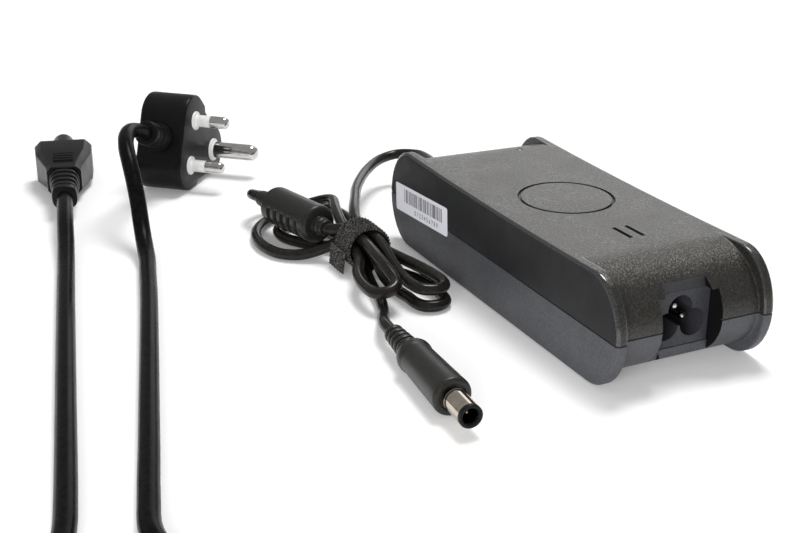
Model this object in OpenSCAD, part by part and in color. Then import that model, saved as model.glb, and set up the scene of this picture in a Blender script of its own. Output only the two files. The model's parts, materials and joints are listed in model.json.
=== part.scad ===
// Laptop power adapter: welded two-shell brick with a C6 inlet, a tied-up DC
// lead with ferrite choke and barrel plug, and a detachable C5 mains lead.
// Millimetres, +Z up, origin at the bottom centre of the brick, +X to the inlet.

/* [Brick] */
// Length over the side panels
body_l = 158; // [150:1:180]
// Width over the side panels
body_w = 60; // [58:1:72]
// Height of the brick
body_h = 37; // [36:0.5:44]
// Height of the seam between the two covers
seam_z = 18; // [17:0.5:20]
// Wall thickness of both covers
wall = 2.4; // [1.8:0.1:2.6]
// Width of the raised rims beside the end faces
rim_w = 4; // [3:0.5:6]
// Depth of the end faces behind the rims
rim_proud = 2.7; // [1:0.1:4]
// Length of the rounded end of a side panel
panel_end = 15; // [12:0.5:20]
// Length of the rounded end of the middle
barrel_end = 24; // [20:0.5:26]
// Hollow of the top along its length
top_sag = 0.8; // [0:0.1:1]
// Rounding of the panel edges
edge_r = 1.2; // [0.5:0.1:2]
// Height of the seam groove
seam_gap = 0.4; // [0.2:0.1:0.8]
// Depth of the seam groove
seam_depth = 0.7; // [0.3:0.1:1.2]

/* [Top details] */
// Diameter of the ring groove
ring_d = 33; // [20:1:38]
// Place of the ring groove along the brick
ring_x = 1; // [-8:1:8]
// Width of the ring groove
ring_w = 0.8; // [0.4:0.1:1.5]
// Depth of the ring groove and of the two slots
mark_depth = 0.7; // [0.3:0.1:1]
// Length of the two slots
slot_l = 10.5; // [6:0.5:12]
// Width of the two slots
slot_w = 1.5; // [1:0.1:2.5]
// Distance between the two slots
slot_pitch = 4.8; // [3:0.1:8]
// Place of the slots' middle along the brick
slot_x = 39; // [34:1:44]
// Diameter of the lamp's window
lens_d = 2.4; // [1.5:0.1:3.5]
// Distance of the lamp from the cord end
lens_from_end = 25; // [24:0.5:28]
// Distance of the lamp from the centre line
lens_y = 13; // [12:0.5:15]

/* [Barcode label] */
// Length of the label
label_l = 43; // [20:1:60]
// Height of the label
label_h = 10.8; // [6:0.2:16]
// Thickness of the label
label_t = 0.15; // [0.1:0.05:0.3]
// Distance of the label's middle from the cord end
label_from_end = 27; // [24:1:60]
// Tilt of the label
label_tilt = 3.5; // [-4:0.5:4]

/* [Inlet] */
// Width of the flat cut for the inlet
inlet_w = 23; // [22:0.5:28]
// Depth of the inlet's face behind the rims
inlet_setback = 9.5; // [7:0.5:10]
// Height of the inlet's face
inlet_h = 19; // [18:0.2:20]
// Diameter of each lobe of the opening
lobe_d = 9.3; // [8.9:0.1:9.6]
// Distance between the line and neutral pins
pin_pitch = 10; // [9.5:0.1:10.5]
// Rise of the earth pin over the other two
pin_rise = 5.2; // [5:0.1:5.6]
// Diameter of the inlet's pins
pin_d = 2.4; // [2:0.1:2.6]
// Depth of the inlet's opening
inlet_depth = 15.5; // [14:0.5:17]
// Distance of the earth pin's tip behind the inlet's face
pin_tip = 2.4; // [2:0.1:4]
// Thickness of the inlet's rear wall and flange
inlet_wall = 2.2; // [1.5:0.1:3]
// Clearance between the inlet and the covers
inlet_fit = 0.2; // [0.1:0.05:0.4]

/* [Circuit board] */
// Thickness of the board
board_t = 1.6; // [1:0.2:2.4]
// Height of the board's underside
board_z = 9; // [8:0.5:10]
// Gap between the board's long edges and the covers
board_side = 2.1; // [1.5:0.1:4]
// Gap between the board's ends and the end walls
board_gap = 7; // [5:0.5:9]
// Diameter of the posts under the board
post_d = 5; // [3:0.5:7]
// Diameter of the reservoir capacitor
bulk_d = 18; // [12:0.5:20]
// Length of the transformer core
core_l = 27; // [20:1:28]
// Width of the transformer core
core_w = 28; // [20:1:30]
// Gap between the transformer core and the shield over it
core_gap = 2.4; // [1:0.1:5]
// Diameter of the output capacitors
cap_d = 9; // [6:0.5:10]
// Gap between the output capacitors and the shield's height
cap_gap = 4.4; // [2:0.1:8]
// Thickness of the heat sinks
sink_t = 2; // [1:0.2:3]
// Gap between the heat sinks and the shield over them
sink_gap = 3.4; // [1:0.1:8]
// Thickness of the shield
shield_t = 0.5; // [0.3:0.1:0.8]
// Thickness of the insulating sheet
sheet_t = 0.4; // [0.2:0.1:0.8]

/* [DC cord] */
// Diameter of the DC cord
dc_d = 4.2; // [3.6:0.1:4.3]
// Length of the strain relief outside the brick
boot_l = 17; // [12:1:17]
// Diameter of the strain relief at the brick
boot_d = 9; // [8:0.5:11]
// Diameter of the choke moulding
choke_d = 14.6; // [12:0.2:14.6]
// Diameter of the ferrite core
ferrite_d = 11.4; // [9:0.2:11.6]
// Length of the ferrite core
ferrite_l = 25; // [18:1:26]
// Width of the hook-and-loop tie
tie_w = 13; // [8:1:14]
// Thickness of the tie
tie_t = 1.2; // [0.8:0.1:1.3]
// Length of the tie's loose end
tie_tail_l = 7.2; // [5:0.2:7.6]

/* [DC plug] */
// Diameter of the plug's grip
plug_d = 12.4; // [11:0.2:14]
// Length of the plug's grip
plug_l = 33; // [25:1:40]
// Length of the plug's ribbed strain relief
plug_relief_l = 15; // [10:1:20]
// Outer diameter of the barrel
barrel_d = 7.4; // [6.5:0.1:8]
// Bore of the barrel
barrel_bore = 5; // [4:0.1:5.4]
// Length of the barrel outside the grip
barrel_l = 12.6; // [9:0.1:14]
// Length of the black ring at the barrel's tip
tip_l = 1.4; // [0.8:0.1:3]
// Diameter of the sense pin
sense_d = 0.9; // [0.6:0.1:1.2]

/* [Mains lead] */
// Diameter of the mains cord
mains_d = 6; // [5.4:0.1:6]
// Width of the C5 connector's body
c5_w = 23; // [20:0.5:26]
// Height of the C5 connector's body
c5_h = 17; // [15:0.5:20]
// Length of the C5 connector's body
c5_l = 31; // [26:1:36]
// Length of the C5 connector's strain relief
c5_relief_l = 22; // [16:1:26]
// Diameter of each of the three barrels
c5_barrel_d = 8.5; // [8:0.1:8.7]
// Length of the three barrels
c5_barrel_l = 15; // [12:0.5:15.4]
// Thickness of the mains plug
mains_plug_t = 20; // [16:0.5:24]
// Radius of the mains plug's three corners
lobe_r = 10.8; // [9:0.1:12]
// Distance between the line and neutral pins
live_pitch = 19.05; // [18:0.05:20]
// Distance of the earth pin from the other two
earth_rise = 22.2; // [21:0.1:24]
// Diameter of the earth pin
earth_d = 7.05; // [6:0.05:8]
// Length of the earth pin
earth_l = 20.6; // [18:0.1:24]
// Diameter of the line and neutral pins
live_d = 5.05; // [4:0.05:6]
// Length of the line and neutral pins
live_l = 14.9; // [13:0.1:18]
// Length of the sleeves on the line and neutral pins
sleeve_l = 7; // [4:0.5:9]
// Length of the mains plug's strain relief
mains_relief_l = 14; // [10:1:14]
// Radius of the coil's middle turn
coil_r = 36; // [33:1:40]
// Step from one turn of the coil to the next
coil_step = 7.6; // [7.6:0.1:8.4]
// Height of one layer of the coil
coil_layer = 6.6; // [6.6:0.1:7.2]

/* [Hidden] */
$fn = 48;

plastic_black = [0.09, 0.09, 0.095];
plastic_grey = [0.16, 0.16, 0.17];
cord_black = [0.07, 0.07, 0.075];
nickel = [0.75, 0.73, 0.70];
white_nylon = [0.88, 0.88, 0.86];

eps = 0.01;           // overlap of shapes joined into one piece
body_gap = 0.3;       // clearance between pieces that move apart

// Brick
half_l = body_l / 2;
half_w = body_w / 2;
barrel_half = half_l - rim_proud;
inner_half = barrel_half - wall;
inlet_x = half_l - inlet_setback;
sag_reach = half_l - panel_end;
inlet_z = seam_z;     // the inlet is held between the covers at their seam
inlet_back = inlet_x - inlet_fit - inlet_depth - inlet_wall;
pin_lift = 0.5;       // of the three pins above the middle of the inlet's face
earth_tip = 2;        // how much further the earth pin reaches
web_gap = 0.5;        // from the pins' middle down to the web between the lower lobes
inlet_wire_d = 1.8;
pin_back = 3;         // length of a pin behind the inlet
lens_x = -half_l + lens_from_end;
label_x = -half_l + label_from_end;
label_z = seam_z + 1.3;
post_inset = 5;       // from the board's edge to the middle of a post

// Circuit board and what stands on it
board_top = board_z + board_t;
board_x0 = -inner_half + board_gap;
board_x1 = inlet_back - 4;
board_y = half_w - wall - board_side;
part_gap = 2;
edge_gap = 2.5;       // from the board's long edges to what stands beside them
fuse_d = 5.2;
fuse_l = 20;
film_t = 9;
film_l = 18;
film_h = 15;
toroid_d = 19;
toroid_t = 9;
toroid_hole = 9;
bridge_t = 4;
bridge_w = 18;
bridge_h = 15;
fuse_x = board_x1 - part_gap - fuse_d / 2;
film_x = board_x1 - part_gap - film_t;
toroid_x = fuse_x - fuse_d / 2 - part_gap - toroid_t;
bridge_x = film_x - part_gap - bridge_t;
chip_t = 4.6;         // thickness of a power transistor
chip_w = 10;
chip_h = 15;
wire_x = board_x0 + 4;                // where the output wires stand
wire_d = 2;
cap_x = wire_x + wire_d / 2 + 8.2 + cap_d / 2;
cap_pitch = cap_d + 1.8;
sink_x = cap_x + cap_d / 2 + 1 + chip_t;
core_x = sink_x + sink_t + part_gap;
bulk_x = core_x + core_l + part_gap;
bulk_l = toroid_x - part_gap - bulk_x;
bulk_y = -board_y + edge_gap + bulk_d / 2;
primary_y = board_y - edge_gap - sink_t;
core_y = -board_y + edge_gap;
core_leg = core_w / 6;
core_lift = 2;        // from the board to the core, with the bobbin's foot between
bobbin_fit = 0.15;
shield_x0 = sink_x - part_gap;
shield_x1 = board_x1 - 1;
shield_top = body_h - top_sag - wall - body_gap;
shield_room = shield_top - shield_t - board_top;
core_h = shield_room - core_gap;
sink_h = shield_room - sink_gap;
cap_h = shield_room - cap_gap;

// DC cord. The tie holds seven strands: one in the middle and six round it.
dc_r = dc_d / 2;
boot_x = -barrel_half - 0.3;
gland_in = 4;         // reach of the strain relief inside the end wall
boot_end = boot_x - boot_l;
tie_x = -51.5;
tie_y = -54;
tie_r = 8.8;          // outer radius, which is also the height of its axis
strand_pitch = 5;
tie_bore = tie_r - tie_t;
tie_hinge = [tie_x, tie_y - tie_r - body_gap - tie_t / 2, tie_r - 0.6];
tie_tail_lean = 6;    // lean of the loose end away from upright
choke_a = [-106, -73, 12.2];
choke_b = [-64, -63, 12.2];
choke_relief_a = 9.5;
choke_relief_b = 4.5;
choke_yaw = atan2(choke_b[1] - choke_a[1], choke_b[0] - choke_a[0]);
choke_l = norm(choke_b - choke_a);
plug_at = [18, -74, plug_d / 2];
barrel_root = 8;      // length of the barrel held in the grip
barrel_root_d = barrel_d - 0.6;
barrel_step = 0.5;    // from the grip to the barrel's full diameter
plug_yaw = -3.7;

function strand(angle) =
    [tie_y + strand_pitch * cos(angle), tie_r + strand_pitch * sin(angle)];
function waist(yz, way) =
    [for (x = way > 0 ? [-59, -54, -49, -44] : [-44, -49, -54, -59]) [x, yz[0], yz[1]]];
middle = [tie_y, tie_r];

// Route of the DC cord, from the brick to the tie
lead_route = [
    [boot_end, 0, seam_z], [-99, 0.2, 18], [-107, 1.8, 17.6], [-117, 4, 16.4], [-127, 4.5, 15],
    [-135, -1, 13.5], [-133.5, -10, 12.5], [-124, -20, 12], [-112, -28.5, 12.3],
    [-99, -36, 13], [-86, -42, 14], [-74, -47.5, 14.4], [-66, -50.5, 13.7],
    [-59, strand(60)[0], strand(60)[1]]
];
// First loop to the right of the tie
loop_high = [
    [-36, -52, 11.8], [-27, -52.8, 9.6], [-18, -53.1, 8], [-11.5, -52.7, 7.6],
    [-7.3, -51, 7.4], [-5.6, -47, 7.2], [-7.3, -43, 7], [-11.5, -41.3, 7],
    [-19, -41.5, 7], [-28, -43.5, 7.4], [-37, -47, 8.3]
];
// Back along the floor, round the end of the choke and straight through it
loop_choke = [
    [-69, -46.5, 6.8], [-80, -42.5, 3.4], [-92, -40.5, 2.1], [-104, -41, 2.1],
    [-113, -44.5, 2.1], [-119.5, -51.5, 2.3], [-121.5, -59.5, 4.2], [-120.5, -67, 7.4],
    [-116.5, -73, 10.4], [-111, -74.3, 12], choke_a, [-95.5, -70.5, 12.2],
    [-85, -68, 12.2], [-74.5, -65.5, 12.2], choke_b
];
// From the choke through the tie, easing into its place
waist_choke = [[-59.3, -58.5, 12.8], [-55, -56.6, 13.1], [-49, -56.5, 13.1], [-44, -56.5, 13.1]];
// Short loop in front
loop_short = [
    [-37, -57.5, 13.2], [-28, -58.4, 12.8], [-20, -58.6, 11.8], [-14, -58.5, 10.2],
    [-10.2, -59.8, 9.1], [-8.7, -63, 8.1], [-10.2, -66.2, 7.4], [-14, -67.5, 7.1],
    [-22, -67.3, 7.1], [-30, -65.2, 7.5], [-37, -61.5, 8.4]
];
// Back through the tie, sinking towards the floor
waist_wide = [[-44, -59, 8.8], [-49, -59, 8.8], [-54, -59, 8.7], [-59, -59.5, 8.1]];
// Widest loop on the left, under the choke and back over the top
loop_wide = [
    [-63, -64.8, 4.8], [-66, -72, 2.5], [-71, -78.5, 2.1], [-80, -81.5, 2.1],
    [-90, -81, 2.1], [-99, -77.5, 2.1], [-106.5, -71, 2.1], [-110.8, -62.5, 2.5],
    [-111, -54.5, 4.6], [-106.5, -48.6, 7.6], [-98.5, -46.5, 10.2], [-88, -49.5, 10.5],
    [-76, -52.5, 9.8], [-67, -54, 9]
];
// Low loop to the right, on the floor
loop_low = [
    [-37, -54.6, 7], [-30, -54.8, 3.8], [-22, -54, 2.1], [-14, -53.2, 2.1],
    [-9, -53, 2.1], [-5, -51.4, 2.1], [-3.4, -47.5, 2.1], [-5, -43.6, 2.1],
    [-9, -42, 2.1], [-18, -41.5, 2.1], [-27, -43, 2.1], [-33, -46.2, 2.5],
    [-38.5, -49.8, 3.6]
];
// Inner loop on the left, on the floor under the choke
loop_inner = [
    [-68, -52, 2.8], [-80, -53, 2.1], [-91, -56, 2.1], [-98, -62.5, 2.1],
    [-96, -70, 2.1], [-87, -71.5, 2.1], [-78, -67, 2.1], [-70, -60, 2.5],
    [-64, -57, 3.7]
];
// Last stretch, from the tie to the plug
tail_route = [
    [-44, strand(240)[0], strand(240)[1]], [-37, -58.6, 3.2], [-28, -60.5, 2.1],
    [-16, -63, 2.1], [-5, -66.8, 2.5], [4, -71, 4.6], [11, -73.5, 6.1], plug_at
];
loops_route = concat(
    waist(strand(60), 1), loop_high, waist(strand(0), -1), loop_choke,
    waist_choke, loop_short, waist_wide, loop_wide,
    waist(middle, 1), loop_low, waist(strand(300), -1), loop_inner,
    waist(strand(240), 1)
);

// Mains lead
mains_r = mains_d / 2;
c5_at = [-146, -139.5, c5_h / 2];
c5_yaw = 168;
contact_d = 3.2;
contact_bore = 2.6;
contact_l = 12;
live_x = live_pitch / 2;
flank_turn = -90 - atan2(live_x, earth_rise);
mains_plug_at = [-161.6, -84.5, lobe_r];
mains_plug_yaw = 140;
collar_t = 0.8;
collar_grow = 2.8;    // how much wider a collar is than its pin
pin_root = 6;         // length of a pin inside the plug
pin_step = 1.4;       // from the plug's face to a pin's full diameter
earth_root_d = earth_d - 0.6;
live_root_d = live_d - 1;
coil_at = [160, -190];
coil_turns = 2.5;
coil_tie_t = 0.75;
coil_tie_w = 8;
coil_out = coil_r + coil_step / 2;
coil_in = coil_r - coil_step / 2;

// Where the mains cord leaves the mains plug's strain relief
mains_exit = [-live_x, -lobe_r - mains_relief_l];
mains_exit_s = -mains_exit[0] * cos(flank_turn) + mains_exit[1] * sin(flank_turn);
mains_exit_z = mains_exit[0] * sin(flank_turn) + mains_exit[1] * cos(flank_turn);
mains_plug_end = [
    mains_plug_at[0] - mains_exit_s * cos(mains_plug_yaw)
        - mains_plug_t / 2 * sin(mains_plug_yaw),
    mains_plug_at[1] - mains_exit_s * sin(mains_plug_yaw)
        + mains_plug_t / 2 * cos(mains_plug_yaw),
    mains_plug_at[2] + mains_exit_z
];

// Route of the mains cord, from the C5 connector to the coil
front_route = [
    c5_at, [-136, -141.6, c5_h / 2], [-122, -144.6, 7.6], [-106, -148, 5],
    [-88, -152, 3.2], [-58, -158.6, 3], [-19.3, -167, 3], [13.6, -174.1, 3],
    [42, -180.2, 3], [66.8, -185.6, 3], [81.5, -189.2, 3], [96, -194.5, 3],
    [110, -204, 3], [123, -215, 3], [136, -224, 3], [148, -229, 3],
    [coil_at[0], coil_at[1] - coil_out, 3]
];
// Route of the mains cord, from the coil to the mains plug
back_route = [
    [coil_at[0], coil_at[1] + coil_out, 3 + coil_layer], [146, -151.2, 9.2],
    [132, -155.4, 7], [119, -162, 4.6], [106, -168.2, 3.2], [91, -170.8, 3],
    [74, -167, 3], [51.6, -160.8, 3], [23.8, -153.2, 3], [-8.6, -144.3, 3],
    [-46.6, -134, 3], [-70, -128, 3], [-81.5, -125, 3.2], [-88.7, -123.6, 4.5],
    [-95.9, -122.4, 7.5], [-102.2, -121.4, 12.4], [-107.8, -120.6, 18],
    [-113.5, -120.1, 23.7], [-119.5, -119.7, 28.8], [-126.6, -118.8, 32.4],
    [-134.1, -116.7, 34.3], [-141.3, -113.4, 34.3], [-147.8, -109.1, 32.4],
    mains_plug_end
];

// ---------------------------------------------------------------- helpers

// Extrudes an X-Z outline from y0 to y1
module along_y(y0, y1) {
    translate([0, y1, 0]) rotate([90, 0, 0]) linear_extrude(y1 - y0) children();
}

// Extrudes a Y-Z outline from x0 to x1
module along_x(x0, x1) {
    translate([x0, 0, 0]) rotate([90, 0, 90]) linear_extrude(x1 - x0) children();
}

// A cylinder along X
module rod(x0, x1, d, d2 = 0) {
    translate([x0, 0, 0]) rotate([0, 90, 0])
        cylinder(h = x1 - x0, d1 = d, d2 = d2 > 0 ? d2 : d);
}

// Box from one corner to the other
module block(low, high) {
    translate(low) cube(high - low);
}

// Height of the slightly hollow top at x, for an outline that is high at its ends
function top_at(x, high) = high - top_sag * (1 - pow(x / sag_reach, 2));

// Side outline of the brick: rounded ends, a flat base and the hollow top
function outline(half, end, low, high, steps = 10) =
    let (flat = half - end, shoulder = top_at(flat, high))
    let (right = concat(
        [for (i = [0:steps]) let (t = -90 + 90 * i / steps)
            [flat + end * cos(t), seam_z + (seam_z - low) * sin(t)]],
        [for (i = [1:steps]) let (t = 90 * i / steps)
            [flat + end * cos(t), seam_z + (shoulder - seam_z) * sin(t)]]))
    let (top = [for (i = [1:steps - 1]) let (x = flat - 2 * flat * i / steps)
        [x, top_at(x, high)]])
    let (n = len(right))
    concat(right, top, [for (i = [1:n]) [-right[n - i][0], right[n - i][1]]]);

// Points on a smooth curve through a route, a few to each span
function smooth(route, steps) =
    let (n = len(route))
    let (p = concat([2 * route[0] - route[1]], route, [2 * route[n - 1] - route[n - 2]]))
    concat(
        [for (i = [1:n - 1], k = [0:steps - 1]) let (t = k / steps)
            0.5 * (2 * p[i] + (p[i + 1] - p[i - 1]) * t
                + (2 * p[i - 1] - 5 * p[i] + 4 * p[i + 1] - p[i + 2]) * t * t
                + (3 * p[i] - p[i - 1] - 3 * p[i + 1] + p[i + 2]) * t * t * t)],
        [route[n - 1]]);

function unit(v) = v / norm(v);
function heading(p, i) = unit(p[min(i + 1, len(p) - 1)] - p[max(i - 1, 0)]);
function ring_points(p, i, r, sides) =
    let (t = heading(p, i), side = unit(cross(t, [0, 0, 1])), up = cross(side, t))
    [for (k = [0:sides - 1]) let (a = 360 * (k + 0.5) / sides)
        p[i] + r * (cos(a) * side + sin(a) * up)];

// One round tube along a list of points
module tube(p, d, sides) {
    n = len(p);
    points = [for (i = [0:n - 1]) each ring_points(p, i, d / 2, sides)];
    walls = [for (i = [0:n - 2], k = [0:sides - 1])
        let (a = i * sides + k, b = i * sides + (k + 1) % sides)
        each [[a, b, b + sides], [a, b + sides, a + sides]]];
    first = [for (k = [1:sides - 2]) [0, k + 1, k]];
    last = [for (k = [1:sides - 2]) let (a = (n - 1) * sides) [a, a + k, a + k + 1]];
    polyhedron(points, concat(first, walls, last));
}

// Least gap between strands of one cord, on points further apart than skip
function strand_gap(p, d, skip) =
    min([for (i = [0:len(p) - 1 - skip], j = [i + skip:len(p) - 1]) norm(p[i] - p[j])]) - d;

// Ribbed boot along X: a tapered core with rounded rings
module ribbed_boot(x0, x1, d0, d1, rings, ring_d, bore) {
    pitch = (x1 - x0) / rings;
    difference() {
        union() {
            rod(x0, x1, d0, d1);
            for (i = [0:rings - 1]) {
                grow = ring_d - d0 + (d0 - d1) * 0.5 + (d1 - d0) * (i + 0.5) / rings;
                rod(x0 + pitch * (i + 0.2), x0 + pitch * (i + 0.8), d0 + grow);
            }
        }
        if (bore > 0) rod(x0 - 1, x1 + 1, bore);
    }
}

// ------------------------------------------------------------ brick covers

// A side panel with a rounded outer edge, seen along Y
module side_panel() {
    along_y(half_w - rim_w, half_w - edge_r)
        polygon(outline(half_l, panel_end, 0, body_h));
    hull() {
        along_y(half_w - edge_r - eps, half_w - edge_r)
            polygon(outline(half_l, panel_end, 0, body_h));
        along_y(half_w - edge_r * 0.35, half_w - edge_r * 0.3)
            polygon(outline(half_l - edge_r * 0.3, panel_end, edge_r * 0.3, body_h - edge_r * 0.3));
        along_y(half_w - eps, half_w)
            polygon(outline(half_l - edge_r, panel_end, edge_r, body_h - edge_r));
    }
}

module brick_outside() {
    along_y(-half_w + rim_w - eps, half_w - rim_w + eps)
        polygon(outline(barrel_half, barrel_end, 0, body_h));
    side_panel();
    mirror([0, 1, 0]) side_panel();
}

// The room inside, less the solid wall behind the inlet's flat cut
module brick_inside() {
    difference() {
        along_y(-half_w + wall, half_w - wall)
            polygon(outline(inner_half, barrel_end - wall, wall, body_h - wall));
        block([inlet_x - wall, -inlet_w / 2 - wall, 0], [half_l, inlet_w / 2 + wall, body_h]);
    }
}

// The flat cut in the end face, narrower above, and the window for the inlet
module inlet_cut() {
    step_z = inlet_z + inlet_h / 2;
    block([inlet_x, -inlet_w / 2, -1], [half_l + 1, inlet_w / 2, step_z]);
    along_x(inlet_x, half_l + 1) polygon([
        [-inlet_w * 0.4, step_z - 1], [inlet_w * 0.4, step_z - 1],
        [inlet_w * 0.3, body_h + 1], [-inlet_w * 0.3, body_h + 1]]);
    block([inlet_x - wall - 1, -inlet_w / 2, inlet_z - inlet_h / 2],
        [inlet_x + 1, inlet_w / 2, inlet_z + inlet_h / 2]);
}

// Groove all round the outside at the seam
module seam_groove() {
    low = seam_z - seam_gap / 2;
    high = seam_z + seam_gap / 2;
    difference() {
        block([-half_l - 1, -half_w - 1, low], [half_l + 1, half_w + 1, high]);
        block([-barrel_half + seam_depth, -half_w + seam_depth, low - 1],
            [barrel_half - seam_depth, half_w - seam_depth, high + 1]);
        for (s = [-1, 1]) translate([0, s * (half_w - rim_w / 2), 0])
            block([-half_l + seam_depth, -rim_w / 2 + seam_depth, low - 1],
                [half_l - seam_depth, rim_w / 2 - seam_depth, high + 1]);
    }
}

module shell() {
    difference() {
        brick_outside();
        brick_inside();
        inlet_cut();
        seam_groove();
        translate([0, 0, seam_z]) rod(-half_l, -inner_half + 1, boot_d + 0.6);
    }
}

module top_cover() {
    color(plastic_black) difference() {
        intersection() {
            shell();
            block([-half_l - 1, -half_w - 1, seam_z], [half_l + 1, half_w + 1, body_h + 1]);
        }
        translate([ring_x, 0, body_h - top_sag - mark_depth]) difference() {
            cylinder(h = top_sag + mark_depth + 1, d = ring_d + ring_w, $fn = 96);
            translate([0, 0, -1])
                cylinder(h = top_sag + mark_depth + 3, d = ring_d - ring_w, $fn = 96);
        }
        for (s = [-1, 1]) translate([slot_x, s * slot_pitch / 2, body_h - top_sag - mark_depth])
            block([-slot_l / 2, -slot_w / 2, 0], [slot_l / 2, slot_w / 2, 3]);
        translate([lens_x, lens_y, seam_z]) cylinder(h = body_h, d = lens_d);
    }
}

module bottom_cover() {
    tab_w = 8;
    tab_t = 1.4;
    tab_lift = 2;
    color(plastic_black) {
        intersection() {
            shell();
            block([-half_l - 1, -half_w - 1, -1], [half_l + 1, half_w + 1, seam_z]);
        }
        for (x = [board_x0 + post_inset, board_x1 - post_inset], s = [-1, 1])
            translate([x, s * (board_y - post_inset), wall / 2])
                cylinder(h = board_z - wall / 2, d = post_d);
        for (x = [-half_l / 3, half_l / 3], s = [0, 1]) mirror([0, s, 0]) {
            block([x - tab_w / 2, half_w - wall - tab_t, seam_z - 4],
                [x + tab_w / 2, half_w - wall + eps, seam_z]);
            block([x - tab_w / 2, half_w - wall - tab_t, seam_z - eps],
                [x + tab_w / 2, half_w - wall - 0.25, seam_z + tab_lift]);
        }
    }
}

module barcode_label() {
    color("white") translate([label_x, -half_w, label_z]) rotate([0, -label_tilt, 0])
        block([-label_l / 2, -label_t, -label_h / 2], [label_l / 2, 0, label_h / 2]);
}

// Clear light pipe from the lamp on the board to the window in the top
module led_lens() {
    color([0.85, 0.9, 0.88, 0.8]) translate([lens_x, lens_y, 0]) {
        translate([0, 0, board_top + 5]) cylinder(h = 3, d = lens_d + 1.6);
        translate([0, 0, board_top + 7.5])
            cylinder(h = body_h - board_top - 7.5 - 0.3, d = lens_d);
    }
}

module status_led() {
    color([0.6, 0.9, 0.6]) translate([lens_x, lens_y, board_top]) {
        cylinder(h = 1, d = 3.6);
        cylinder(h = 5, d = 3);
    }
}

// ------------------------------------------------------------------- inlet

pin_places = [
    [0, inlet_z + pin_lift + pin_rise / 2],
    [-pin_pitch / 2, inlet_z + pin_lift - pin_rise / 2],
    [pin_pitch / 2, inlet_z + pin_lift - pin_rise / 2]
];

module inlet_housing() {
    face = inlet_x - inlet_fit;
    floor_x = face - inlet_depth;
    flange = 1.5;
    color(plastic_grey) difference() {
        union() {
            block([inlet_back, -inlet_w / 2 + inlet_fit, inlet_z - inlet_h / 2 + inlet_fit],
                [face, inlet_w / 2 - inlet_fit, inlet_z + inlet_h / 2 - inlet_fit]);
            translate([inlet_x - wall - inlet_fit - inlet_wall, 0, inlet_z])
                block([0, -inlet_w / 2 - flange, -inlet_h / 2 - flange],
                    [inlet_wall, inlet_w / 2 + flange, inlet_h / 2 + flange]);
        }
        for (p = pin_places) translate([0, p[0], p[1]]) {
            rod(floor_x, face + 1, lobe_d);
            rod(inlet_back - 1, floor_x + 1, pin_d);
        }
        along_x(floor_x, face + 1) polygon([
            pin_places[0], pin_places[1] - [0, web_gap], pin_places[2] - [0, web_gap]]);
    }
}

module inlet_pins() {
    color(nickel) for (p = pin_places) translate([0, p[0], p[1]])
        rod(inlet_back - pin_back, inlet_x - inlet_fit - pin_tip - (p[0] == 0 ? 0 : earth_tip), pin_d);
}

// Short stiff wires from the pins down to the board
module inlet_wires() {
    color("tomato") for (p = pin_places)
        translate([inlet_back - pin_back - inlet_wire_d / 2, p[0], board_top])
            cylinder(h = p[1] - board_top + inlet_wire_d / 2, d = inlet_wire_d);
}

// ---------------------------------------------------------- circuit board

module circuit_board() {
    color("darkgreen") difference() {
        block([board_x0, -board_y, board_z], [board_x1 + 3, board_y, board_top]);
        for (s = [-1, 1]) translate([0, s * board_y, 0])
            block([-2, -1.5, board_z - 1], [2, 1.5, board_top + 1]);
    }
}

// Sheet on the floor of the bottom cover, cut out round the posts
module insulating_sheet() {
    reach = barrel_half - barrel_end - 1;
    color([0.85, 0.85, 0.7]) difference() {
        block([-reach, -half_w + wall + 0.5, wall], [reach, half_w - wall - 0.5, wall + sheet_t]);
        for (x = [board_x0 + post_inset, board_x1 - post_inset], s = [-1, 1])
            translate([x, s * (board_y - post_inset), 0]) cylinder(h = board_z, d = post_d + 1);
    }
}

// Bent sheet over the hot parts, standing on the board's edges
module heat_shield() {
    color("silver") difference() {
        block([shield_x0, -board_y, board_top], [shield_x1, board_y, shield_top]);
        block([shield_x0 - 1, -board_y + shield_t, board_top - 1],
            [shield_x1 + 1, board_y - shield_t, shield_top - shield_t]);
    }
}

module mains_fuse() {
    cap_l = 5;
    color("burlywood") translate([fuse_x, -board_y + edge_gap, board_top + fuse_d / 2])
        rotate([0, 0, 90]) union() {
            rod(0, fuse_l, fuse_d - 0.4);
            rod(0, cap_l, fuse_d);
            rod(fuse_l - cap_l, fuse_l, fuse_d);
        }
}

module line_capacitor() {
    color("gold") translate([film_x, part_gap, board_top]) cube([film_t, film_l, film_h]);
}

// Wound ring standing on its edge, in a slotted foot
module input_choke() {
    foot = 0.6;
    mid_y = -board_y + edge_gap + toroid_d / 2;
    color("peru") translate([toroid_x, mid_y, board_top + toroid_d / 2 + foot]) difference() {
        union() {
            rod(0, toroid_t, toroid_d);
            block([0, -toroid_d / 3, -toroid_d / 2 - foot], [toroid_t, toroid_d / 3, -toroid_d / 4]);
        }
        rod(-1, toroid_t + 1, toroid_hole);
    }
}

module bridge_rectifier() {
    color("dimgray") translate([bridge_x, part_gap, board_top]) cube([bridge_t, bridge_w, bridge_h]);
}

module reservoir_capacitor() {
    bead = 1;
    color("navy") translate([bulk_x, bulk_y, board_top + bulk_d / 2]) {
        rod(0, bulk_l - 3, bulk_d);
        rod(bulk_l - 3 - eps, bulk_l - 2, bulk_d - bead);
        rod(bulk_l - 2 - eps, bulk_l, bulk_d);
    }
}

// An upright plate with a foot on the board
module heat_sink(length) {
    block([0, 0, 0], [length, sink_t, sink_h]);
}

module primary_heat_sink() {
    color("silver") translate([bulk_x, primary_y, board_top]) heat_sink(bulk_l);
}

module switching_transistor() {
    color("dimgray") translate([bulk_x + bulk_l / 2, primary_y, board_top + 2])
        block([-chip_w / 2, -chip_t, 0], [chip_w / 2, 0, chip_h]);
}

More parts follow.
